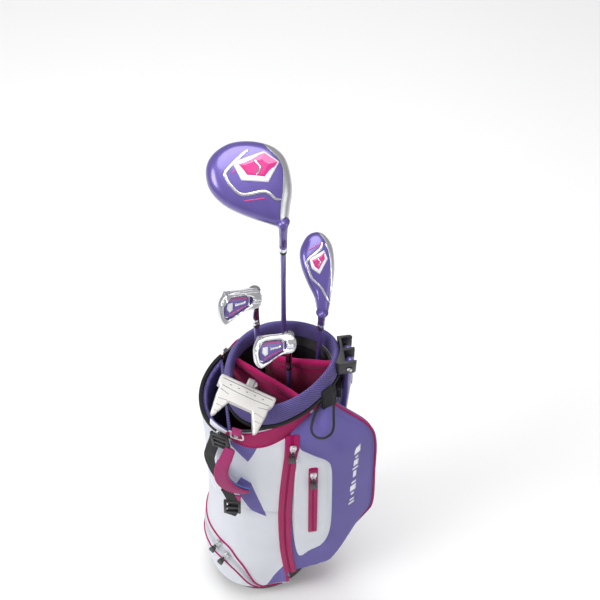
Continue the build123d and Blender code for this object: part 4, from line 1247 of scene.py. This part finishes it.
def make_strap():
    """Shoulder strap: pad with its lining, webbing, buckle, adjuster and ring."""
    line = curve_points([(-45, -84, 563), (-53, -90, 545), (-61, -93, 520), (-62, -94, 492), (-56, -94, 466),
                         (-44, -93, 444), (-29, -90, 426)], 8)
    outs = [Vector((-0.45 + 0.75 * t, -0.85, 0.25 - 0.85 * t)).normalized() for t in
            [i / (len(line) - 1) for i in range(len(line))]]
    pad = sweep("strap_pad", line, outs, padded_profile(10.5, 3.0), "pink_webbing",
                stands_for=["shoulder_strap"], scale=lambda t: 0.72 + 0.34 * sin(pi * min(1.0, t * 0.9)))
    smooth(pad)
    shift = [p - o * 3.4 + along.cross(o).normalized() * (-7.5 * max(0.0, i / len(line) - 0.35))
             for i, (p, o, along) in enumerate(zip(line, outs, directions(line)))]
    sweep("strap_lining", shift[12:], outs[12:], rounded(9.6, 0.9, 0.7), "blue_lining",
          scale=lambda t: 1.04 - 0.15 * t)
    for side in (-1, 1):
        edge = []
        for p, o, along in zip(line, outs, directions(line)):
            edge.append(p + along.cross(o).normalized() * (side * 8.0) + o * 2.6)
        stitches(f"strap_stitches_{'left' if side < 0 else 'right'}", edge[3:-3], outs[3:-3], "piping")
    web = curve_points([(-63, -71, 584), (-67, -69, 560), (-74, -66, 528), (-77, -64, 500), (-72, -70, 470),
                        (-62, -82, 448), (-56, -89, 432)], 8)
    web_outs = [Vector((-0.62, -0.78, 0.08))] * len(web)
    sweep("strap_webbing_upper", web, web_outs, rounded(9.0, 0.9, 0.7), "webbing")
    low = curve_points([(-58, -88, 440), (-52, -90, 410), (-50, -90, 385), (-53, -89, 360),
                        (-56, -88, 350)], 8)
    low_outs = [Vector((-0.3, -0.95, 0.1))] * len(low)
    sweep("strap_webbing_lower", low, low_outs, rounded(8.5, 1.0, 0.8), "webbing",
          stands_for=["strap_adjuster"])
    tail = curve_points([(-44, -92, 424), (-46, -91, 405), (-48, -90, 392)], 6)
    sweep("strap_end_tab", tail, Vector((-0.2, -0.95, 0.2)), rounded(7.5, 0.9, 0.7), "pink_webbing")
    frame_place = (Vector((-52, -92, 386)), Vector((0.98, -0.2, 0)).normalized(),
                   Vector((0.05, 0.1, 1)).normalized())
    ladder("strap_slider", frame_place, 13, 17, 1)
    place = (Vector((-58, -75, 572)), Vector((0.86, -0.5, 0)).normalized(),
             Vector((-0.05, 0.09, 1)).normalized())
    ladder("ladder_lock", place, 13.5, 17, 2, stands_for=["strap_buckle"])
    make_ring()


def padded_profile(half_width, half_height):
    """Section of a sewn pad: full in the middle, thin at its two stitched edges."""
    points = []
    for k in range(28):
        a = 2 * pi * k / 28
        x = half_width * cos(a)
        waist = 0.35 + 0.65 * min(1.0, (1 - abs(cos(a)) ** 3) * 1.4)
        points.append((x, half_height * waist * (1 if sin(a) > 0 else -1) * abs(sin(a)) ** 0.6))
    return points


def ladder(name, place, half_u, half_v, bars, **settings):
    """Moulded slide buckle: two rails and cross bars."""
    origin, u, v = place
    out = u.cross(v).normalized()
    if out.y > 0:
        out = -out
    rail = rounded(2.1, 2.6, 1.2, 3)
    tubes = [rod_rows(origin + u * (s * (half_u - 2)) - v * half_v,
                      origin + u * (s * (half_u - 2)) + v * half_v, out, rail)
             for s in (-1, 1)]
    for k in range(bars + 2):
        height = -half_v + 2 + (2 * half_v - 4) * k / (bars + 1)
        tubes.append(rod_rows(origin - u * half_u + v * height + out * (0.6 * (k % 2)),
                              origin + u * half_u + v * height + out * (0.6 * (k % 2)), out,
                              rounded(2.2, 2.0, 1.0, 3)))
    return cluster(name, tubes, "black_plastic", **settings)


def make_ring():
    """D-ring through its tab; the ring swings on the tab's slot."""
    t = radians(-120)
    out = outward(body_egg(588), t)
    side = Vector((-out.y, out.x, 0))
    root = on_body(t, 588, 1.8) + out * 3.9
    outline = rounded(9.3, 7.8, 3.5, 5)
    line = [root + side * a + Z_WAY * (b - 2) for a, b in outline]
    made = sweep("d_ring", even_points(line, 1.6, True), [out] * len(even_points(line, 1.6, True)),
                 circle(1.35, 10), "steel", closed=True, body="ring", stands_for=["strap_ring"])
    smooth(made)
    tab = [root + Z_WAY * 16 - out * 2.3, root + Z_WAY * 10 - out * 0.6, root + Z_WAY * 6.5 + out * 2.0,
           root + Z_WAY * 3.6 + out * 1.6, root + Z_WAY * 3.4 - out * 1.9, root + Z_WAY * 8 - out * 2.9,
           root + Z_WAY * 15 - out * 3.1]
    sweep("ring_tab", curve_points(tab, 6), side.cross(Z_WAY),
          [(a, b) for a, b in rounded(7.0, 0.55, 0.45, 2)],
          "pink_webbing", scale=None)


def make_stand():
    """Bracket, screws, legs with feet, clip and spring rod."""
    bevelled("stand_bracket", "stand_head", 1.2, "black_plastic")
    bevelled("leg_rest", "leg_clip", 1.0, "black_plastic")
    bevelled("spring_rod", "stand_actuator", 0.5, "steel", "actuator")
    lean = 0.25
    first = True
    for side, word in ((1, "right"), (-1, "left")):
        way = Vector((-lean, side, 0)).normalized()
        pivot = Vector((133.5, -10 + side * 9.5, 655))
        made = dome(f"pivot_screw_{word}", pivot + way * 15.0, way, 4.3, 2.0, "steel", cross=True)
        if first:
            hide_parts("stand_pins")
            first = False
        bevelled(f"foot_cap_{word}", f"stand_foot_{word}", 1.6, "rubber", f"leg_{word}")
        frame["nodes"][f"stand_leg_{word}"].data.materials.clear()
        frame["nodes"][f"stand_leg_{word}"].data.materials.append(LOOKS["shaft_paint"])


# ---- clubs ----
class Club:
    """Places on a club's head: F towards the face, T towards the toe, depth up from the sole."""

    def __init__(self, name, turn, lie, sole):
        centres = {}
        for part in ("shaft", "grip"):
            low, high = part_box(f"{name}_{part}")
            centres[part] = (low + high) / 2 / MM
        self.name = name
        self.axis = (centres["shaft"] - centres["grip"]).normalized()
        butt = centres["grip"] + self.axis * ((6.5 - centres["grip"].z) / self.axis.z)
        facing = Vector((cos(radians(turn)), sin(radians(turn)), 0))
        self.face = (facing - self.axis * facing.dot(self.axis)).normalized()
        across = self.axis.cross(self.face)
        self.toe = self.axis * cos(radians(lie)) + across * sin(radians(lie))
        self.sole = self.axis * sin(radians(lie)) - across * cos(radians(lie))
        self.heel = butt + self.axis * (sole - 6.5)
        self.butt = butt

    def at(self, f, t, depth=0.0):
        """Point at a distance along the face, the toe and into the head."""
        return self.heel + self.face * f + self.toe * t - self.sole * depth

    def plane(self):
        """The plane of the face and toe, through the heel."""
        return (self.heel, self.face, self.toe)

    def up_plane(self):
        """The same plane, its sides in the order that makes its normal face the sole side."""
        return (self.heel, self.face, self.toe) if self.face.cross(self.toe).dot(self.sole) > 0 else (
            self.heel, self.toe, self.face)


def head_rows(club, outline, middle, layers):
    """Rings of a rounded hollow head; layers are (depth, share of the outline)."""
    smooth_outline = [(p.x, p.y) for p in curve_points([(f, t, 0) for f, t in outline], 6, True)]
    rows = []
    for depth, share in layers:
        rows.append([club.at(middle[0] + (f - middle[0]) * share, middle[1] + (t - middle[1]) * share, depth)
                     for f, t in smooth_outline])
    return rows


def wood_material(name, club, edge_curve, span):
    """Gloss purple with a brushed face cup in front of a line given as F against T."""
    s = Shader(name, rough=0.3, metal=0.4, Coat_Weight=0.6, Coat_Roughness=0.08)
    place = s.place(1000.0)
    from_heel = s.add("VectorMath", [place, tuple(club.heel)], operation="SUBTRACT").outputs[0]
    f = s.add("VectorMath", [from_heel, tuple(club.face)], operation="DOT_PRODUCT").outputs["Value"]
    t = s.add("VectorMath", [from_heel, tuple(club.toe)], operation="DOT_PRODUCT").outputs["Value"]
    up = s.add("VectorMath", [from_heel, tuple(-club.sole)], operation="DOT_PRODUCT").outputs["Value"]
    curve = s.add("FloatCurve", [1.0, s.spread(t, span[0], span[1])])
    line = curve.mapping.curves[0]
    for place_t, value in edge_curve[1:-1]:
        line.points.new((place_t - span[0]) / (span[1] - span[0]), (value + 60) / 120)
    for point, (_, value) in ((line.points[0], edge_curve[0]),
                              (line.points[len(line.points) - 1], edge_curve[-1])):
        point.location = (point.location[0], (value + 60) / 120)
    curve.mapping.update()
    edge = s.math("SUBTRACT", s.math("MULTIPLY", curve.outputs[0], 120.0), 60.0)
    ahead = s.math("SUBTRACT", f, edge)
    cup = s.spread(ahead, -0.15, 0.15)
    groove = s.spread(s.math("ABSOLUTE", ahead), 0.0, 0.55, 1.0, 0.0)
    brush = s.add("Mapping", [s.add("CombineXYZ", [f, t, up]).outputs[0]])
    brush.inputs["Scale"].default_value = (0.25, 3.0, 3.0)
    lines = s.noise(brush.outputs[0], 1.2, 3.0, 0.7)
    broad = s.noise(place, 0.02, 2.0)
    paint = s.mix(s.spread(broad, 0.3, 0.7), (0.10, 0.07, 0.29, 1), (0.13, 0.095, 0.36, 1))
    metal = s.mix(s.spread(lines, 0.3, 0.7), (0.50, 0.51, 0.54, 1), (0.68, 0.685, 0.71, 1))
    s.colour(s.mix(groove, s.mix(cup, paint, metal), (0.02, 0.015, 0.05, 1)))
    s.links.new(s.math("ADD", s.math("MULTIPLY", cup, 0.55), 0.4, clamp=True), s.main.inputs["Metallic"])
    s.links.new(s.spread(lines, 0.2, 0.8, 0.24, 0.36), s.main.inputs["Roughness"])
    s.bump(s.math("ADD", s.math("MULTIPLY", s.math("MULTIPLY", lines, cup), 0.12),
                  s.math("MULTIPLY", groove, -1.0)),
           0.0004, 0.8)
    LOOKS[name] = s.material


def make_wood(name, club, outline, middle, layers, edge_curve, span, bands, badge, dashes, hosel_r):
    """Wood or hybrid head: body with its face cup, raised bands, faceted badge, dashes and hosel."""
    wood_material(f"{name}_finish", club, edge_curve, span)
    rows = head_rows(club, outline, middle, layers)
    head = ring_piece(f"{name}_shell", rows, f"{name}_finish", body=name, stands_for=[f"{name}_head"])
    smooth(head)
    tree = solid_of(head)
    for i, (band, widths) in enumerate(bands):
        ribbon(f"{name}_band_{i}", band, club.up_plane(), tree, widths, "silver_paint", body=name)
    decal(f"{name}_badge_rim", badge, club.plane(), tree, "white_paint", lift=1.5, step=3, edge=0.7,
          body=name, stands_for=[f"{name}_badge"])
    inner = shrunk(badge, 2.6)
    middle_f, middle_t = (sum(p[k] for p in inner) / len(inner) for k in (0, 1))
    centre = club.at(middle_f, middle_t, -2.2)
    core = [(middle_f + (f - middle_f) * 0.55, middle_t + (t - middle_t) * 0.55) for f, t in inner]
    tubes = [[[club.at(f, t, 1.0) for f, t in inner], [club.at(f, t, -1.5) for f, t in inner],
              [club.at(f, t, -2.9) for f, t in core]]]
    cut_gem = cluster(f"{name}_badge_gem", tubes, "badge_paint", body=name)
    for polygon in cut_gem.data.polygons:
        polygon.use_smooth = False
    size = 0.26 * hypot(inner[0][0] - inner[2][0], inner[0][1] - inner[2][1])
    chevron = [(0, size), (size * 0.75, 0), (0, -size), (-size * 0.3, -size), (size * 0.35, 0),
               (-size * 0.3, size)]
    mark = plate_rows([(a - size * 0.1, b) for a, b in chevron], (centre, club.face, club.toe), 0.9, 0.25)
    cluster(f"{name}_badge_mark", [[[p + club.sole * 0.5 for p in row] for row in mark]], "silver_paint",
            body=name)
    for i, (dash, width) in enumerate(dashes):
        ribbon(f"{name}_dash_{i}", dash, club.up_plane(), tree, width, "badge_paint", lift=0.1, thick=0.4,
               body=name)
    make_hosel(club, hosel_r, "purple_paint")


def make_hosel(club, radius, look):
    """Neck that flares into the head, its bright ring, and the ferrule below."""
    low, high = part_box(f"{club.name}_ferrule")
    middle = (low + high) / 2 / MM
    along = club.axis
    top = middle + along * 6.0
    neck_end = club.heel - along * 2
    side, other = club.face, along.cross(club.face)

    def ring(centre, r):
        return [centre + (side * cos(a) + other * sin(a)) * r for a in turns(28)]

    length = (neck_end - top).length
    neck = [ring(top + along * (length * k), radius * r) for k, r in
            ((0, 0.97), (0.02, 1.0), (0.1, 1.0), (0.105, 0.95), (0.13, 0.95), (0.135, 1.0), (0.5, 1.05),
             (0.75, 1.2), (0.92, 1.5), (1.0, 1.7))]
    cluster(f"{club.name}_neck", [neck], look, body=club.name)
    base = middle - along * 6.0
    collar = [ring(base + along * k, r) for k, r in
              ((0, 4.0), (0.4, 4.4), (2.2, 4.7), (4.2, 4.8), (4.4, 4.5), (4.8, 4.4))]
    cluster(f"{club.name}_collar", [collar], "black_plastic", body=club.name,
            stands_for=[f"{club.name}_ferrule"])
    sleeve = [ring(base + along * k, r) for k, r in
              ((4.8, 4.3), (4.9, 4.8), (6.0, 5.0), (11.4, radius - 0.05), (12.0, radius - 0.2))]
    cluster(f"{club.name}_sleeve", [sleeve], "silver_paint", body=club.name)


def make_iron(name, turn, lie, sole, loft_angle):
    """Iron head with rounded edges; stripes and a plate in its cavity."""
    club = Club(name, turn, lie, sole)
    head = softened(f"{name}_blade", f"{name}_head", "chrome", name)
    insert = bevelled(f"{name}_insert", f"{name}_badge", 0.5, "cavity_paint", name)
    lean = radians(loft_angle)
    up = -club.sole
    normal = club.face * cos(lean) + up * sin(lean)
    u_way = -club.toe
    v_way = normal.cross(u_way)
    back = (club.heel - normal * 3.0, -u_way, v_way)
    tree = solid_of(insert)
    thin = dict(lift=0.35, edge=0.3, step=3, sink=0.3, body=name)
    decal(f"{name}_stripe_low", strip([(14, 10.5), (34, 9.0), (45, 10.5)], 0.9), back, tree, "badge_paint",
          **thin)
    decal(f"{name}_stripe_high", strip([(16, 20), (32, 26), (43, 31)], 0.8), back, tree, "badge_paint",
          **thin)
    decal(f"{name}_bar", strip([(17, 15), (34, 17.5)], 1.5), back, tree, "silver_paint", **thin)
    decal(f"{name}_plate", [(38, 14), (46, 15), (47, 22), (42, 27), (37, 24)], back, tree, "white_paint",
          **thin)
    make_hosel(club, 4.7, "chrome")
    return head


def make_putter():
    """Mallet putter with engraved lines on the bar and stepped lines on its fangs, drawn as near-black tubes
    on the surface: painted shade of the grooves.
    """
    club = Club("putter", 63, 72, 668)
    head = softened("putter_mallet", "putter_head", "putter_metal", "putter", 1.0, 3)
    origin = club.at(-12, 1.5)
    lift = club.sole * 0.05
    tubes = []

    def groove(points, radius=0.45):
        line = [origin + club.face * f + club.toe * t + lift for f, t in points]
        for a, b in zip(line, line[1:]):
            tubes.append(rod_rows(a, b, club.sole, circle(radius, 6), 0.2))

    groove([(-3, 37), (-3, -37)])
    groove([(-13, 35), (-14.5, 12), (-14.5, -12), (-13, -35)])
    for side in (1, -1):
        groove([(-19, side * 35), (-22, side * 22)])
        groove([(-33, side * 34), (-31, side * 21), (-33, side * 20)])
        groove([(-42, side * 33.5), (-42, side * 23.5), (-45, side * 23.5)])
        groove([(-51, side * 33), (-51, side * 26.5), (-54, side * 27)])
    cluster("putter_grooves", tubes, "engraving_shade", body="putter")
    # the dots are near-black too: painted shade of small engraved marks
    dots = [rod_rows(origin + club.toe * (t - 1.2) - club.face * 8 + lift,
                     origin + club.toe * (t + 1.2) - club.face * 8 + lift,
                     club.sole, circle(0.6, 6), 0.2) for t in (-24, -12, 0, 12, 24)]
    cluster("putter_marks", dots, "engraving_shade", body="putter")
    return head


DRIVER = dict(
    outline=[(3, -9), (13, 18), (18.5, 38), (19, 63), (14, 83), (-1, 98), (-27, 107), (-53, 107),
             (-75, 96), (-86, 78), (-85, 53), (-70, 31), (-44, 13), (-12, -3)],
    middle=(-30, 56),
    layers=[(-1.0, 0.04), (-0.9, 0.25), (-0.6, 0.45), (-0.1, 0.6), (0.6, 0.72), (2.2, 0.83), (5.5, 0.92),
            (10, 0.975), (15, 1.0), (21, 1.0), (27, 0.98), (33, 0.93), (39, 0.83), (44, 0.68), (48, 0.48),
            (50, 0.28), (50.6, 0.06)],
    badge=[(-11, 89), (6, 73), (-12, 49), (-45, 56), (-53, 80)],
)
HYBRID = dict(
    outline=[(5, -7), (16, 27), (23, 60), (22, 90), (9, 108), (-9, 106), (-22, 87), (-23, 66),
             (-17, 42), (-9, 20), (-6, 0)],
    middle=(0, 52),
    layers=[(-0.8, 0.04), (-0.7, 0.25), (-0.4, 0.45), (0.1, 0.6), (0.8, 0.73), (2.4, 0.85), (5, 0.94),
            (9, 1.0), (14, 1.0), (19, 0.94), (24, 0.78), (28, 0.5), (29.2, 0.1)],
    badge=[(-12, 72), (9, 82), (13, 70), (0, 50), (-10, 58)],
)


def make_clubs():
    """All five clubs; band paths and face edges are (face, toe) in millimetres."""
    driver = Club("driver", 3, 58, 895)
    make_wood("driver", driver, DRIVER["outline"], DRIVER["middle"], DRIVER["layers"],
              [(-12, -6), (10, -3), (40, 5), (70, 8), (90, -4), (108, -16)], (-12, 108),
              [([(-30, 92), (-36, 90), (-62, 70), (-63, 62), (-58, 50), (-46, 38), (-18, 38), (-6, 27),
                 (1, 26)], 1.9)],
              DRIVER["badge"],
              [([(-46, 30), (-18, 30)], 0.8), ([(-56, 66), (-36, 82)], 0.8)], 5.0)
    hybrid = Club("hybrid", 0, 59, 735)
    make_wood("hybrid", hybrid, HYBRID["outline"], HYBRID["middle"], HYBRID["layers"],
              [(-8, 30), (10, 12), (40, 14), (70, 17), (90, 14), (108, 4)], (-8, 108),
              [([(8, 94), (4, 84), (-15, 70), (-15, 62), (-11, 46), (0, 32), (5, 20), (10, 10)], 1.6),
               ([(12, 92), (17, 72), (14, 30), (11, 26)], 1.1)],
              HYBRID["badge"], [([(-12, 84), (8, 92)], 0.7)], 5.0)
    make_iron("seven_iron", 111, 61, 786, 33)
    make_iron("sand_wedge", 106, 62, 712, 44)
    make_putter()


# ---- the whole set ----
def finish_cad_nodes():
    """A procedural finish on every CAD node that stays."""
    looks = {row["node"]: row["material_slot"] for row in frame["record"]["subparts"]}
    for node, made in frame["nodes"].items():
        if not made.hide_render:
            made.data.materials.clear()
            made.data.materials.append(LOOKS[looks[node]])


def make_stage():
    """Plain pale floor, broad soft lights and the camera."""
    bpy.ops.mesh.primitive_grid_add(x_subdivisions=4, y_subdivisions=4, size=24, location=(0, 0, 0))
    floor = bpy.context.object
    floor.name = "floor"
    s = Shader("floor", rough=0.9)
    s.colour(s.mix(s.noise(s.place(1.0), 3.0), (0.93, 0.93, 0.93, 1), (0.95, 0.95, 0.95, 1)))
    floor.data.materials.append(s.material)
    world = bpy.data.worlds.new("studio")
    bpy.context.scene.world = world
    world.use_nodes = True
    world.node_tree.nodes["Background"].inputs[0].default_value = (1, 1, 1, 1)
    world.node_tree.nodes["Background"].inputs[1].default_value = 0.42
    for name, place, size, power in (("key", (-1.9, -0.5, 2.3), 1.3, 34), ("fill", (1.7, -1.0, 1.6), 1.4, 7),
                                     ("top", (0.0, 0.35, 3.0), 2.0, 52)):
        data = bpy.data.lights.new(name, "AREA")
        data.shape, data.size, data.energy = "DISK", size, power
        lamp = bpy.data.objects.new(name, data)
        bpy.context.scene.collection.objects.link(lamp)
        lamp.location = place
        lamp.rotation_euler = (VIEW_TARGET - Vector(place)).to_track_quat("-Z", "Y").to_euler()
    back = Vector((sin(VIEW_TURN) * cos(VIEW_RISE), -cos(VIEW_TURN) * cos(VIEW_RISE), sin(VIEW_RISE)))
    right = Vector((cos(VIEW_TURN), sin(VIEW_TURN), 0))
    up = back.cross(right)
    data = bpy.data.cameras.new("camera")
    data.lens, data.sensor_width = VIEW_LENS, 36
    camera = bpy.data.objects.new("camera", data)
    bpy.context.scene.collection.objects.link(camera)
    axes = Matrix((right, up, back)).transposed().to_4x4()
    camera.matrix_world = Matrix.Translation(VIEW_TARGET + back * VIEW_DISTANCE) @ axes
    bpy.context.scene.camera = camera
    bpy.context.scene.view_settings.view_transform = "Standard"


make_stage()
make_loop()
body_cloth = make_body()
make_collar()
make_cuff()
make_well()
make_divider("main_divider", "divider_main", MAIN_DIVIDER, 330)
make_divider("side_divider", "divider_side", SIDE_DIVIDER, 465)
apparel = make_apparel_pocket()
ball = make_ball_pocket()
panel = skin_piece("front_panel", 343, lambda turn: smooth_value(COLLAR_EDGE, turn * 180 / pi, 4) + 5, 44,
                   radians(-152))
front = front_tree([apparel, ball, panel, body_cloth])
make_base_facing()
make_front(front)
make_prints(front)
lean = Vector((0, -11 / 300, -1))
out = Vector((0, -1, 11 / 300))
zip_slider("main_slider_body", (42.8, -94.0, 560), out, Vector((-13.5 / 203, -11 / 300, -1)), "steel",
           "main_slider", "main_zip_slider")
zip_slider("accessory_slider_body", (72, -98.8, 476), out, lean, "steel", "accessory_slider",
           "accessory_zip_slider")
ball_out = Vector((-0.70, -0.69, 0.18))
zip_slider("ball_slider_upper_body", (-82.4, -62.4, 186), ball_out, (-0.2, 0.2, -1), "steel",
           "ball_slider_up", "ball_slider_upper")
zip_slider("ball_slider_lower_body", (-71.2, -79.4, 169), ball_out, (-0.2, 0.2, -1), "steel",
           "ball_slider_low", "ball_slider_lower")
make_trim()
make_strap()
make_stand()
make_clubs()
finish_cad_nodes()
